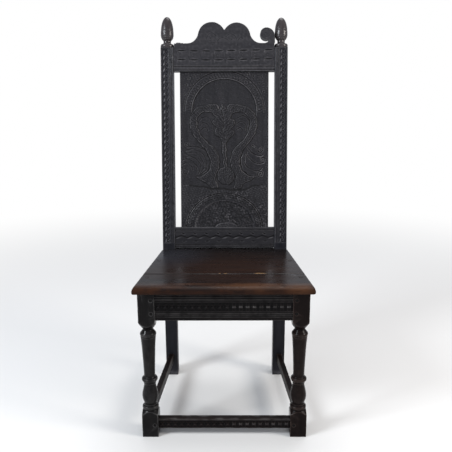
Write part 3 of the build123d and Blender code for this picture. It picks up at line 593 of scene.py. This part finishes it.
def lunette(x, s):
    """Half-round at the foot: punched ring, stippled middle, small fan. Cut, and tone with
    painted glints and shade on the punch marks, a painted sheen on the ring and painted shade
    and highlight on the fan.
    """
    rise = s - LOWER_RAIL_TOP
    outer, inner = [np.hypot(x / width, rise / height)
                    for width, height in (LUNETTE_OUTER, LUNETTE_INNER)]
    mean = (LUNETTE_OUTER[0] + LUNETTE_INNER[1]) / 2
    rings = most(vee((outer - 1) * mean, 4.0), 0.7 * vee((outer - 0.955) * mean, 2.6))
    middle = smooth((1 - inner) * mean, 0, 6.0)
    cut = 2.0 * rings + middle * (2.2 + 0.4 * ripple((x, s), 14, 8))
    tone = -rings
    spandrel = smooth((outer - 1.02) * mean, 0, 2) * smooth(SPANDREL_TOP - s + 0.1 * x, -4, 8)
    busy = smooth(ripple((x, s), 60, 26), -1.4, 0.8)
    crown = 0.35 + 0.65 * smooth(70 - np.hypot(x - CROWN[0], rise - CROWN[1]), 0, 50)
    for cover, pitch, seed, side, shade in (
            (middle, 4.7, 21, crown, 1.0), (spandrel, 5.0, 22, smooth(x, -90, 30), 0.5)):
        away, lot = cells(x, s, pitch, 1.7, seed)
        cut = cut + scoop(away, 3.8) * (0.35 + 0.65 * lot) * cover
        # Painted glints on some stipple marks, brighter towards the crown and, beside the
        # lunette, to the right; painted shade in others.
        spot = smooth(1.9 - away, 0, 0.7)
        bright = smooth(lot, 0.66, 0.78) * (0.20 + 0.80 * side) * busy
        tone += (1.7 * spot * bright - 0.9 * spot * (lot < 0.45) - 0.12 * shade) * cover
    angle = np.arctan2(rise / LUNETTE_OUTER[1], x / LUNETTE_OUTER[0])
    lots = np.random.default_rng(25).uniform(0, 1, 99)
    ring = (outer + inner) / 2
    unit = PUNCH_PITCH / PUNCH_RADIUS
    for row, shift in PUNCH_ROWS:
        place = angle / unit + shift
        along = (np.mod(place, 1) - 0.5) * PUNCH_PITCH
        off_row = (ring - row) * mean
        # Painted glints on the rims of some punch holes, painted shade in the holes.
        bright = smooth(lots[np.floor(place + 40 * row).astype(int) % 99], 0.3, 0.8)
        hole = scoop(np.hypot(along, off_row), 5.2)
        crescent = vee(np.hypot(along - 1.2, off_row + 1.2) - 3.4, 2.4)
        cut = most(cut, 1.7 * hole)
        tone += 1.5 * crescent * bright * (hole < 0.4) * (outer < 1.06) - 1.3 * hole
    # The ring is drawn darker between its rims.
    tone -= 0.34 * smooth((inner - 1.02) * mean, 0, 3) * smooth((1.02 - outer) * mean, 0, 3)
    # Painted sheen along the ring's inner rim, strongest at the left.
    painted_sheen_left = 0.06 + 0.80 * smooth(angle, 1.5, 2.4)
    tone += painted_sheen_left * smooth(4.5 - np.abs((inner - 1.0) * mean + 4.0), 0, 3.5)
    near, fan = polar(x - FAN_MIDDLE, rise * FAN_FLATNESS)
    standing = 1 - smooth(near, FAN_REACH, FAN_REACH + 3)
    grooves = vee(np.sin(7 * fan) * near, 9) * (near > 14)
    # Fan: painted shade in its grooves and outside its rim, a painted highlight on its rim.
    tone = tone * (1 - standing) + standing * (0.10 - 0.6 * grooves)
    tone += 0.45 * vee(near - FAN_REACH + 1, 3.4) - 0.6 * vee(near - FAN_REACH - 4, 4)
    return cut * (1 - standing) + standing * (0.8 + 1.2 * grooves), tone * (inner < 1.5)


def panel(oak):
    """The carved panel, with a fine skin on its face."""
    step = 1.25
    rises = np.minimum(np.arange(LOWER_RAIL_TOP, CREST_BOTTOM + step, step), CREST_BOTTOM)
    stations = [(on_back(0, rise, PANEL_FACE), SIDEWAYS, into_back, rise) for rise in rises]
    return swept("carved_panel", stations, -PANEL_HALF, PANEL_HALF, PANEL_THICK, step,
                 "back_panel", oak, panel_relief, corner=1.2, seed=31)


# ------------ carving of the posts
BAND_OUTER = 6           # from the outer side of a post
BAND_WIDTH = 20
BAND_PITCH = 18.8
BAND_START = 22
POST_LINES = (BAND_OUTER - 1.2, BAND_OUTER + BAND_WIDTH + 2.4, 34.5)
POST_STRIP = 37.4
PLAIN_STEP = 9.0         # between stations below the seat
CARVED_STEP = 1.15
BEND = (-12, 6)          # where these two runs of stations end and start


def post_relief(side):
    """Chip-carved strand up the face of a post, between scratched lines; tone paints highlights
    on the chips' lit sides, the same on both posts, and shade in the cuts, with a pale strip
    near the inner side.
    """
    def relief(x, s):
        out = post_outer / MM - side * x
        lines = scratched_lines(out, POST_LINES, 2.8) * (s > BAND_START)
        u = x - side * (post_outer / MM - BAND_OUTER - BAND_WIDTH / 2)
        phase, half = in_unit(s, BAND_PITCH), in_unit(s, BAND_PITCH, 0.5)
        leaf = lens(phase - 0.25 * u, u + 4.6 - 0.18 * phase, 15, 6.5)
        bowl = np.hypot(u + 2, half)
        crescent = vee(bowl - 7.4, 4.6) * (u > -3)
        chip = lens(half, u + 5.2, 11, 6.0)
        in_band = (np.abs(u) < BAND_WIDTH / 2) & (s > BAND_START) & (s < POST_RISE - 4)
        band = (1.1 - 1.1 * leaf + 1.5 * crescent + 1.3 * chip) * in_band
        patches = 0.6 + 0.4 * smooth(ripple((x, s), 60, 15), -1.2, 1.2)
        # Painted highlights on the leaves and bowl rims, the same on both posts as light falls
        # from one side.
        lit = smooth(leaf, 0.05, 0.45) + 0.35 * vee(bowl - 10.5, 3) * (u > 0)
        strip = 0.4 * vee(out - POST_STRIP, 2.8) * (s > BAND_START)
        tone = (lit * patches - 0.9 * most(crescent, chip)) * in_band
        return most(1.4 * lines, band), tone + strip * patches - 0.9 * lines
    return relief


def back_post(hand, side, oak):
    """One post from the floor to the finial, its face carved above the seat."""
    centre = side * (post_inner + post_outer) / 2 / MM
    half = (post_outer - post_inner) / 2 / MM
    stations = [((0, post_front, z * MM), SIDEWAYS, (0, 1, 0), z - seat_top / MM)
                for z in np.arange(0, seat_top / MM + BEND[0], PLAIN_STEP)]
    stations.append(((0, post_front, seat_top), SIDEWAYS, (0, 1, -math.tan(RAKE / 2)), 0))
    stations += [(on_back(0, rise), SIDEWAYS, into_back, rise)
                 for rise in np.arange(BEND[1], POST_RISE, CARVED_STEP)]
    stations.append((on_back(0, POST_RISE - 0.1), SIDEWAYS, into_back, POST_RISE))
    return swept(hand + "_carved_post", stations, centre - half, centre + half, POST_DEPTH, 0.95,
                 hand + "_back_post", oak, post_relief(side), corner=1.8,
                 seed=41 + side, wear=0.9)


# ------------ carving of the rails
CREST_UNIT = 39.4
CREST_REACH = 4 * CREST_UNIT
CREST_MIDDLE = 2
CREST_ROWS = (633, 618.5, 605)
CREST_LINES = (573, 584)
CREST_SHEEN = 577.5
SCROLL = (133.3, 685.2)
LOWER_LINES = (62, 15, 9)
LOWER_UNIT = 37.6
LOWER_WAVE = 40.5
LOWER_STROKES, LOWER_CHIPS, LOWER_UNDER = 36.5, 50, 26
RAIL_LINES = (419, 412, 405)             # from here on, heights above the floor
RAIL_LOW_LINES = (372.5, 365.5, 361)
RAIL_BEADS = ((408.5, 3.4, 1), (369, 3.4, 1), (415.5, 3, 0.6))     # height, width, strength
RAIL_BAND = (388.3, 18.3, 8.0)           # middle, pitch and half height
STRETCHER_LINES = (45.5, 26.5)
STRETCHER_BAND = (36, 18.4, 6.2)


def crest_relief(x, s):
    """Strapwork band between mould lines: cut, and tone with painted highlights on ticks and
    under the dashes, a painted sheen along one line, and painted shade in dashes and lines.
    """
    lines = scratched_lines(s, CREST_LINES, 3.2)
    start = CREST_MIDDLE - CREST_REACH
    phase = np.mod(x - start, CREST_UNIT) - CREST_UNIT / 2
    s = s + 1.5 * np.sin((x - start) / 70) - 0.8
    in_band = (np.abs(x - CREST_MIDDLE) < CREST_REACH) * 1.0
    dashes, lit = np.zeros(x.shape), np.zeros(x.shape)
    for row in (CREST_ROWS[0], CREST_ROWS[2]):
        dashes = most(dashes, lens(phase - 1, s - row, 30, 6.4))
        tick = lens(s - row + 4.5 - 0.6 * (phase + 13), phase + 13, 9, 4.4)
        under = 0.3 * vee(s - row + 4.6, 3) * (np.abs(phase - 1) < 11)
        lit = most(lit, 0.9 * tick, under)
    middle = s - CREST_ROWS[1]
    near = np.abs(middle) < 13
    bracket = vee(np.hypot(phase - 4, middle) - 21, 2.8) * (phase < -11) * near
    curl = vee(np.hypot(phase + 3, middle) - 4.0, 2.8) * (phase < 0)
    faint = most(bracket, curl)
    # Painted highlights weaker towards the left.
    lit = lit * (0.5 + 0.5 * smooth(x, -120, 0))
    sheen = 0.35 * vee(s - CREST_SHEEN, 3.4)
    return (most(1.6 * lines, most(2.8 * dashes, 0.4 * faint) * in_band),
            (lit - dashes - 0.34 * faint) * in_band + sheen - lines)


HUMP_STROKES = [
    [(-56, 668), (-50, 682), (-38, 688), (-26, 680)],
    [(-22, 662), (-10, 672), (4, 670), (16, 662)],
    [(6, 676), (18, 684), (32, 680), (40, 668)],
    [(44, 664), (52, 674), (60, 670)],
]
HUMP_DOTS = [(-36, 652), (42, 650), (-44, 672), (24, 668)]


def hump_relief(x, s):
    """Faint leaf strokes on the cresting and the curl of the scroll."""
    faint = [vee(from_curve(x, s, stroke), 3.4) for stroke in HUMP_STROKES]
    faint += [scoop(np.hypot(x - dot_x, s - dot_s), 6) for dot_x, dot_s in HUMP_DOTS]
    r, angle = polar(x - SCROLL[0], s - SCROLL[1])
    curl = np.abs(np.mod(r - 1.9 * angle + 6, 12) - 6)
    return most(*faint, vee(curl, 3.2) * (r < 16) * (r > 2.5))


def crest_shape(points, normals):
    """Lays the face of the crest rail flat and carves it."""
    x, s, out = points.T
    face = (out > -RAIL_FACE - 2.2) & (normals[:, 2] > -0.2)
    flat = smooth(normals[:, 2], 0.55, 0.8)
    cut, tone = np.zeros(len(points)), np.zeros(len(points))
    cut[face], tone[face] = crest_relief(x[face], s[face])
    faint = hump_relief(x[face], s[face])
    cut[face] = most(cut[face], 0.6 * faint)
    # Uneven tone, and painted shade in the faint strokes.
    tone[face] += 0.10 * ripple(points[face].T, 7, 53) - 0.18 * faint
    level = -RAIL_FACE - SKIN - 0.15 * (1 + ripple(points.T, 40, 3))
    near_edge = face & (flat > 0)
    out = np.where(near_edge, out * (1 - flat) + flat * (level - cut), out)
    broken = smooth(-x, 124, 132) * smooth(s, 648, 657)
    s = s - broken * (1.2 + 1.4 * ripple(points.T, 5, 9))
    return np.column_stack([x, s, out]), tone * flat


def lower_relief(s, x):
    """Running wave of gouge cuts between scratched lines: cut, and tone with painted highlights
    on strokes and lips, stronger to the right, and painted shade along the wave, in chips and
    lines.
    """
    lines = scratched_lines(s, LOWER_LINES, 3.0)
    phase, half = in_unit(x, LOWER_UNIT, 0.5), in_unit(x, LOWER_UNIT)
    from_wave = s - LOWER_WAVE - 2.6 * np.sin(2 * math.pi * x / LOWER_UNIT)
    stroke = lens(phase, s - LOWER_STROKES - 0.22 * phase, 19, 5.0)
    chip = lens(half + 3, s - LOWER_CHIPS + 0.3 * half, 12, 6.0)
    lip = lens(half + 3, s - LOWER_CHIPS - 4.5 + 0.3 * half, 10, 3.0)
    chips = most(chip, 0.7 * lens(half, s - LOWER_UNDER, 14, 5.0))
    # Painted highlights, brighter towards the right.
    lit = most(stroke, 0.4 * lip) * (0.6 + 0.4 * smooth(x, -150, 0))
    shade = 0.6 * np.minimum(vee(from_wave, 9.0, 1.5), 1) * (1 - stroke)
    cut = most(1.4 * lines, 1.3 * vee(from_wave, 5.0), 2.2 * chips)
    return cut, lit - most(0.9 * lines, shade, 1.2 * chips) - 0.06


def lower_back_rail(oak):
    """Carved rail just above the seat."""
    reach = post_inner / MM
    start, end = on_back(-reach, 0, RAIL_FACE), on_back(reach, 0, RAIL_FACE)
    return swept("carved_lower_back_rail", straight(start, end, up_back, into_back, reach),
                 LOWER_RAIL_BOTTOM, LOWER_RAIL_TOP, RAIL_THICK, 0.85, "lower_back_rail",
                 oak, lower_relief, corner=1.4, seed=61)


def bow_ties(x, z, centre, pitch, half_height):
    """Row of chip-carved bow ties between small chips: cut, and tone that paints the chips lit
    on the right half and shaded on the left, with painted shade beside and between them and over
    the band.
    """
    phase = in_unit(x, pitch)
    reach = pitch / 2 - 0.6
    spread = 1.2 + (half_height - 1.2) * np.abs(phase) / reach
    chip = np.clip(1 - np.abs(z - centre) / spread, 0, 1)
    chip *= smooth(reach + 0.8 - np.abs(phase), 0, 1.8)
    beside = lens(phase, np.abs(z - centre) - half_height - 0.8, pitch * 0.6, 5.4)
    # Painted light falls on the right half of the row: pale lit chips there, dark chips to the
    # left.
    facing_light = smooth(x, -30, 40)
    lit = smooth(chip, 0.25, 0.65) * (2.6 * facing_light - 1.0)
    band = smooth(half_height + 5 - np.abs(z - centre), 0, 2)
    gap = smooth(np.abs(phase), reach - 4.2, reach - 2.6) * band
    return (most(2.6 * chip, 1.7 * beside),
            lit * (1 - gap) - beside - gap - 0.42 * band * (1 - 0.6 * facing_light))


def front_rail_relief(z, x):
    """Mouldings above and below a chip-carved band."""
    lines = most(scratched_lines(z, RAIL_LINES, 3.4),
                 scratched_lines(z, RAIL_LOW_LINES, 3.0))
    cut, tone = bow_ties(x, z, *RAIL_BAND)
    for height, width, strength in RAIL_BEADS:
        tone += 0.22 * strength * vee(z - height, width)
    # Beads drawn paler; scratched lines painted in shade.
    return most(1.7 * lines, cut), tone - lines


def stretcher_relief(z, x):
    """Chip-carved band between two lines."""
    lines = scratched_lines(z, STRETCHER_LINES, 3.0)
    cut, tone = bow_ties(x, z, *STRETCHER_BAND)
    top_edge = 0.15 * smooth(z, 47, 49)
    # Top edge drawn paler; scratched lines painted in shade.
    return most(1.4 * lines, cut), 0.8 * tone + top_edge - lines


def across_front(name, node, oak, relief, seed):
    """Squared and carved rail between the front legs."""
    low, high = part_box(node)
    stations = straight((-leg_inner, low.y, 0), (leg_inner, low.y, 0), (0, 0, 1), (0, 1, 0),
                        leg_inner / MM)
    return swept(name, stations, low.z / MM, high.z / MM, (high.y - low.y) / MM, 0.7, node,
                 oak, relief, corner=1.3, seed=seed, wear=0.8)


def seat_joint(points, normals):
    """Wears the joint of the seat boards to a groove, wider at the right: places and tone."""
    x, y, z = points.T
    open_end = smooth(x, 168, 176)
    reach = 2.8 + 1.6 * open_end + 0.4 * ripple(points.T, 30, 91)
    near = np.clip(1 - np.abs(y - board_joint / MM) / reach, 0, 1)
    near *= smooth(z, seat_top / MM - 8, seat_top / MM - 0.5)
    return np.column_stack([x, y, z - near * (1.9 + 1.2 * open_end)]), -0.8 * near


# ------------ materials
ACROSS, ALONG, UP = 0, 1, 2              # ways that the grain runs
WAX_IOR = 1.47


class Shading:
    """The nodes of a material or world, and short ways to add to them."""

    def __init__(self, owner):
        owner.use_nodes = True
        self.owner = owner
        self.tree = owner.node_tree
        self.shader = self.tree.nodes.get("Principled BSDF")
        self.place = self.add("ShaderNodeTexCoord").outputs["Object"]

    def fill(self, node, inputs):
        """Puts values into a node's sockets, or links from other nodes."""
        for name, value in inputs.items():
            socket = node.inputs[name]
            if isinstance(value, bpy.types.NodeSocket):
                self.tree.links.new(value, socket)
            elif isinstance(value, tuple) and len(value) < len(socket.default_value):
                socket.default_value = (*value, 1)
            else:
                socket.default_value = value
        return node

    def add(self, kind, inputs=None):
        return self.fill(self.tree.nodes.new(kind), inputs or {})

    def noise(self, scale, detail=6.0, rough=0.6):
        """Noise with its own scale along x, y and z, in features per metre."""
        fit = self.add("ShaderNodeMapping", {"Scale": scale, "Vector": self.place})
        noise = self.add("ShaderNodeTexNoise", {
            "Vector": fit.outputs["Vector"], "Scale": 1.0, "Detail": detail, "Roughness": rough})
        return noise.outputs["Fac"]

    def grain(self, axis, across, along, detail=6.0, rough=0.6):
        """Noise drawn out along one axis."""
        scale = [across] * 3
        scale[axis] = along
        return self.noise(scale, detail, rough)

    def ramp(self, value, low, low_colour, high, high_colour):
        node = self.add("ShaderNodeValToRGB")
        elements = node.color_ramp.elements
        elements[0].position, elements[1].position = low, high
        elements[0].color, elements[1].color = (*low_colour, 1), (*high_colour, 1)
        self.fill(node, {"Fac": value})
        return node.outputs["Color"]

    def mixed(self, factor, first, second):
        node = self.add("ShaderNodeMix")
        node.data_type = "RGBA"
        return self.fill(node, {0: factor, 6: first, 7: second}).outputs[2]

    def maths(self, kind, *values):
        node = self.add("ShaderNodeMath")
        node.operation = kind
        return self.fill(node, dict(enumerate(values))).outputs[0]

    def times(self, first, second):
        return self.maths("MULTIPLY", first, second)

    def spread(self, value, low, high, to_low=0.0, to_high=1.0):
        """A value mapped from one span to another, and kept inside it."""
        node = self.add("ShaderNodeMapRange", {
            "Value": value, "From Min": low, "From Max": high, "To Min": to_low,
            "To Max": to_high})
        return node.outputs["Result"]

    def noted(self, attribute):
        node = self.add("ShaderNodeAttribute")
        node.attribute_name = attribute
        return node.outputs["Fac"]

    def length(self, vector):
        node = self.add("ShaderNodeVectorMath", {0: vector})
        node.operation = "LENGTH"
        return node.outputs["Value"]

    def seen_by_camera(self):
        return self.add("ShaderNodeLightPath").outputs["Is Camera Ray"]

    def patch(self, centre, reach, ragged=0.0, soft=0.5):
        """1 inside an oval place on the chair, fading to 0 over its soft rim."""
        fit = self.add("ShaderNodeMapping", {
            "Location": [-c / r for c, r in zip(centre, reach)],
            "Scale": [1 / r for r in reach], "Vector": self.place})
        away = self.length(fit.outputs["Vector"])
        if ragged:
            noise = self.noise((45, 90, 45), 4.0)
            away = self.maths("MULTIPLY_ADD", self.maths("SUBTRACT", noise, 0.5), ragged, away)
        return self.spread(away, 1 - soft, 1 + soft, 1.0, 0.0)


def grimed_and_shaded(made, colour, pores, amount):
    """Dirt in the pores, and in the hollows a dark colour that is grime with painted shade."""
    colour = made.mixed(made.spread(pores, 0.56, 0.70, 0.0, 0.6), colour, GRIME_AND_SHADE)
    return made.mixed(made.times(made.noted("hollow"), amount), colour, GRIME_AND_SHADE)


def finish_wood(made, colour, streaks, pores, clouds, gloss, level, depth):
    """Uneven wax and the grain's relief."""
    rough = made.spread(clouds, 0.35, 0.65, gloss - 0.06, gloss + 0.10)
    rough = made.maths("MULTIPLY_ADD", made.noted("hollow"), 0.16, rough)
    height = made.maths("MULTIPLY_ADD", pores, -0.5, made.times(streaks, 0.9))
    bump = made.add("ShaderNodeBump", {"Strength": 0.6, "Distance": depth, "Height": height})
    made.shader.inputs["IOR"].default_value = WAX_IOR
    made.shader.inputs["Specular IOR Level"].default_value = level
    made.fill(made.shader, {
        "Base Color": colour, "Roughness": made.maths("MULTIPLY_ADD", pores, 0.10, rough),
        "Normal": bump.outputs["Normal"]})
    return made.owner


# Oak by its place on the chair: dark, pale and rubbed colours. The sets are lit and
# shaded copies of one oak, as light falls on each part: the cresting painted lighter,
# the posts and the parts below the seat painted darker, each front leg its own. The
# rubbed colour also serves for painted highlights.
FRAME = ((0.0170, 0.0166, 0.0195), (0.0310, 0.0295, 0.0330), (0.125, 0.120, 0.126))
POSTS = ((0.0085, 0.0088, 0.0120), (0.0165, 0.0164, 0.0210), (0.098, 0.095, 0.104))
CREST = ((0.0235, 0.0228, 0.0265), (0.0375, 0.0360, 0.0400), FRAME[2])
ACORN = ((0.0230, 0.0190, 0.0200), (0.0480, 0.0390, 0.0400), FRAME[2])
LOW = ((0.0034, 0.0029, 0.0031), (0.0092, 0.0070, 0.0071), (0.105, 0.098, 0.096))
TURNED = ((0.0022, 0.0020, 0.0022), (0.0062, 0.0050, 0.0052), (0.175, 0.168, 0.165))
STRETCHER = ((0.0062, 0.0034, 0.0031), (0.0155, 0.0088, 0.0080), LOW[2])
BROWN = ((0.0036, 0.0022, 0.0021), (0.0098, 0.0058, 0.0054), (0.120, 0.088, 0.076))
# Dark of dirt, also used as painted shade in hollows and cuts.
GRIME_AND_SHADE = (0.0030, 0.0027, 0.0029)


def stained_oak(name, axis, colours=FRAME, gloss=0.32, level=0.20):
    """Nearly black old oak with its grain along one axis."""
    dark, pale, rub = colours
    made = Shading(bpy.data.materials.new(name))
    streaks = made.grain(axis, 90, 4)
    pores = made.grain(axis, 560, 16, 3.0, 0.7)
    clouds = made.noise((9, 9, 7), 3.0)
    colour = made.ramp(streaks, 0.32, dark, 0.70, pale)
    colour = made.mixed(made.spread(clouds, 0.42, 0.68, 0.0, 0.6), colour, dark)
    colour = grimed_and_shaded(made, colour, pores, 0.92)
    patchy = made.spread(made.noise((55, 55, 55), 4.0), 0.34, 0.58, 0.25, 1.0)
    # Rubbed colour on worn edges and on the carving's painted highlights.
    rubbed = made.times(made.times(made.noted("edge"), patchy), 0.9)
    colour = made.mixed(rubbed, colour, rub)
    return finish_wood(made, colour, streaks, pores, clouds, gloss, level, 0.0005)


SEAT_BLACK = (0.0060, 0.0052, 0.0056)
SEAT_PALE = (0.0120, 0.0088, 0.0084)
SEAT_RED = (0.0260, 0.0120, 0.0078)
NOSE_BROWN = (0.0330, 0.0140, 0.0080)
WORN_BROWN = (0.080, 0.036, 0.018)
WORN_YELLOW = (0.300, 0.170, 0.070)
# Painted reflection: bluish sheen on the left rear of the seat.
PAINTED_SEAT_SHEEN = (0.0270, 0.0280, 0.0350)
NOSE_TURN = -0.35        # faces that look further forward than this are the nose
# Patches of the seat: place and reaches in metres
RED_PATCH = ((0.02, -0.10, seat_top), (0.20, 0.13, 1.0))
SEAT_SHEEN_PATCH = ((-0.165, 0.045, seat_top), (0.085, 0.085, 1.0))
NOSE_PATCH = ((0, seat_nose, seat_top), (3.0, 0.034, 1.0))
JOINT_PATCH = ((0, board_joint, seat_top), (3.0, 0.0034, 1.0))
CRACK_PATCH = ((0.200, board_joint, seat_top), (0.030, 0.0036, 1.0))
# Rubbed places on the nose: x, distance behind its edge, reaches and strength
NOSE_WEAR = (
    (0.075, 0.022, (0.080, 0.016, 0.03), 0.75),
    (0.205, 0.014, (0.035, 0.020, 0.03), 0.65),
    (-0.075, 0.034, (0.060, 0.006, 0.03), 0.35),
)
# Bare flecks behind the boards' joint: x and reaches
FLECKS = (
    (0.102, (0.015, 0.0038, 0.03)),
    (0.004, (0.005, 0.0022, 0.03)),
    (-0.012, (0.003, 0.0015, 0.03)),
)


def dull_nose(board, finish):
    """Gives the handled front edge of the seat its own duller finish."""
    board.data.materials.append(finish)
    for face in board.data.polygons:
        face.material_index = int(face.normal.y < NOSE_TURN)


def seat_wood(name, level):
    """Polished seat: reddish in the middle, a painted bluish sheen at the left rear, rubbed
    brown along the front edge.
    """
    made = Shading(bpy.data.materials.new(name))
    streaks = made.grain(ACROSS, 85, 3.5)
    pores = made.grain(ACROSS, 520, 14, 3.0, 0.7)
    clouds = made.noise((8, 14, 8), 3.0)
    colour = made.ramp(streaks, 0.32, SEAT_BLACK, 0.70, SEAT_PALE)
    middle = made.patch(*RED_PATCH, 0.8, 0.6)
    red = made.times(middle, made.spread(streaks, 0.30, 0.62, 0.25, 1.0))
    colour = made.mixed(red, colour, SEAT_RED)
    # Painted sheen of reflected light at the left rear.
    seat_sheen = made.patch(*SEAT_SHEEN_PATCH, 0.7, 0.7)
    colour = made.mixed(made.times(seat_sheen, 0.6), colour, PAINTED_SEAT_SHEEN)
    nose = made.patch(*NOSE_PATCH, 0.7, 0.45)
    bare = made.spread(made.noise((16, 30, 30), 4.0), 0.40, 0.60, 0.15, 0.95)
    colour = made.mixed(made.times(nose, bare), colour, NOSE_BROWN)
    for x, behind, reach, strength in NOSE_WEAR:
        worn = made.patch((x, seat_nose + behind, seat_top), reach, 1.1, 0.5)
        colour = made.mixed(made.times(worn, strength), colour, WORN_BROWN)
    for x, reach in FLECKS:
        worn = made.patch((x, board_joint + 0.004, seat_top), reach, 0.5, 0.35)
        colour = made.mixed(worn, colour, WORN_YELLOW)
    colour = grimed_and_shaded(made, colour, pores, 0.7)
    edge = made.times(made.noted("edge"), made.spread(clouds, 0.38, 0.6, 0.1, 0.8))
    colour = made.mixed(edge, colour, NOSE_BROWN)
    joint = made.patch(*JOINT_PATCH, 0.0, 0.35)
    crack = made.patch(*CRACK_PATCH, 0.3, 0.3)
    colour = made.mixed(made.maths("MAXIMUM", joint, crack), colour, GRIME_AND_SHADE)
    return finish_wood(made, colour, streaks, pores, clouds, 0.20, level, 0.0004)


# ------------ floor, light and camera
FLOOR_SIZE = 30
FLOOR_COLOUR = (0.80, 0.79, 0.775)
FADE = (0.7, 3.2)        # where the floor starts and ends its fade to white
SURROUND = (0.46, 0.48, 0.52)
LAMPS = (                # name, place, size, power in watts and tint
    ("window_lamp", (-2.3, -1.5, 2.2), 0.9, 70, (0.90, 0.95, 1.0)),
    ("room_lamp", (2.4, -1.0, 1.7), 0.8, 44, (1.0, 0.95, 0.89)),
    ("top_lamp", (0.2, 0.5, 3.1), 1.4, 30, (1.0, 1.0, 1.0)),
)
LAMP_AIM = (0, 0, 0.6)
PHOTO_WIDTH = 452        # pixels
FOCAL_LENGTH = 569.67    # pixels
SENSOR = 36              # mm
CAMERA_SIDE, CAMERA_AWAY, CAMERA_HEIGHT = 0.0175, 1.4232, 0.9493
YAW, PITCH, ROLL = 0.0073, 0.2334, 0.004


def pale_floor():
    """Pale floor that fades into the white surround."""
    bpy.ops.mesh.primitive_plane_add(size=FLOOR_SIZE)
    floor = bpy.context.object
    floor.name = "floor"
    made = Shading(bpy.data.materials.new("pale_floor"))
    made.fill(made.shader, {"Base Color": FLOOR_COLOUR, "Roughness": 0.7})
    fade = made.spread(made.length(made.place), *FADE)
    fade.node.interpolation_type = "SMOOTHSTEP"
    white = made.add("ShaderNodeEmission", {"Color": (1, 1, 1)})
    mix = made.add("ShaderNodeMixShader", {
        0: made.times(fade, made.seen_by_camera()), 1: made.shader.outputs["BSDF"],
        2: white.outputs["Emission"]})
    made.fill(made.tree.nodes["Material Output"], {"Surface": mix.outputs[0]})
    floor.data.materials.append(made.owner)


def studio():
    """Surround that is white to the camera and cool grey as light."""
    scene.world = bpy.data.worlds.new("studio")
    made = Shading(scene.world)
    tone = made.mixed(made.seen_by_camera(), SURROUND, (1, 1, 1))
    made.fill(made.tree.nodes["Background"], {"Color": tone})


def lamps():
    """Soft lamps aimed at the chair."""
    for name, place, size, power, tint in LAMPS:
        data = bpy.data.lights.new(name, "AREA")
        data.size = size
        data.energy = power
        data.color = tint
        lamp = bpy.data.objects.new(name, data)
        scene.collection.objects.link(lamp)
        lamp.location = place
        aim = Vector(LAMP_AIM) - Vector(place)
        lamp.rotation_euler = aim.to_track_quat("-Z", "Y").to_euler()


def camera():
    """The photograph's camera, solved from the chair's own corners."""
    data = bpy.data.cameras.new("camera")
    eye = bpy.data.objects.new("camera", data)
    scene.collection.objects.link(eye)
    scene.camera = eye
    data.sensor_width = SENSOR
    data.lens = SENSOR * FOCAL_LENGTH / PHOTO_WIDTH
    eye.location = (CAMERA_SIDE, leg_front - CAMERA_AWAY, CAMERA_HEIGHT)
    turn = (Matrix.Rotation(YAW, 4, "Z") @ Matrix.Rotation(math.pi / 2 - PITCH, 4, "X")
            @ Matrix.Rotation(-ROLL, 4, "Z"))
    eye.rotation_euler = turn.to_euler()


# ------------ the chair
camera()
pale_floor()
studio()
lamps()
# Lighter and darker copies of the oak stand in for how light falls: a lit cresting, shaded posts
# and shaded parts below the seat.
frame_up = stained_oak("stained_oak_upright", UP)
frame_across = stained_oak("stained_oak_across", ACROSS)
lit_crest_oak = stained_oak("lit_oak_cresting", ACROSS, CREST)
shaded_post_oak = stained_oak("shaded_oak_posts", UP, POSTS, level=0.18)
low_across = stained_oak("shaded_oak_across", ACROSS, LOW, level=0.08)
low_brown = stained_oak("shaded_oak_brown", ACROSS, STRETCHER, level=0.08)
low_deep = stained_oak("shaded_oak_deep", ALONG, BROWN, level=0.08)
# Each front leg has its own copy, painted as light falls on it.
turned = {
    "left": stained_oak("turned_oak_left", UP, TURNED, gloss=0.10, level=0.11),
    "right": stained_oak("turned_oak_right", UP, BROWN, gloss=0.10, level=0.07),
}
acorn_oak = stained_oak("turned_oak_acorn", UP, ACORN, gloss=0.16, level=0.36)
seat_oak = seat_wood("polished_seat_oak", 0.26)
nose_oak = seat_wood("worn_nose_oak", 0.05)

panel(frame_up)
for hand, side in (("left", -1), ("right", 1)):
    back_post(hand, side, shaded_post_oak)
    remeshed(hand + "_turned_leg", hand + "_front_leg", turned[hand], 1.05,
             keep=0.4, seed=71 + side, wear=0.9)
    remeshed(hand + "_acorn", hand + "_finial", acorn_oak, 0.75,
             keep=0.6, seed=75 + side, wear=0.2)
remeshed("carved_crest_rail", "crest_rail", lit_crest_oak, 1.15,
         keep=0.55, seed=51, wear=0.7, shape=crest_shape, axes=back_axes)
lower_back_rail(frame_across)
across_front("carved_front_rail", "front_seat_rail", low_across, front_rail_relief, 81)
across_front("carved_front_stretcher", "front_stretcher", low_brown, stretcher_relief, 85)
for node, oak in (("left_side_rail", low_deep), ("right_side_rail", low_deep),
                  ("left_side_stretcher", low_deep), ("right_side_stretcher", low_deep),
                  ("rear_seat_rail", low_across)):
    remeshed("worn_" + node, node, oak, 1.5, keep=0.35, seed=len(node), wear=0.8)
for node in ("front_seat_board", "rear_seat_board"):
    board = remeshed("worn_" + node, node, seat_oak, 1.6,
                     keep=0.35, seed=len(node), wear=0.8, shape=seat_joint)
    if node == "front_seat_board":
        dull_nose(board, nose_oak)
peg_finish = {"seat_pegs": seat_oak, "front_rail_pegs": turned["left"],
              "side_rail_pegs": turned["left"], "stretcher_pegs": turned["left"]}
for node, cad in nodes.items():
    if node.endswith("_pegs"):
        cad.data.materials.clear()
        cad.data.materials.append(peg_finish.get(node, shaded_post_oak))
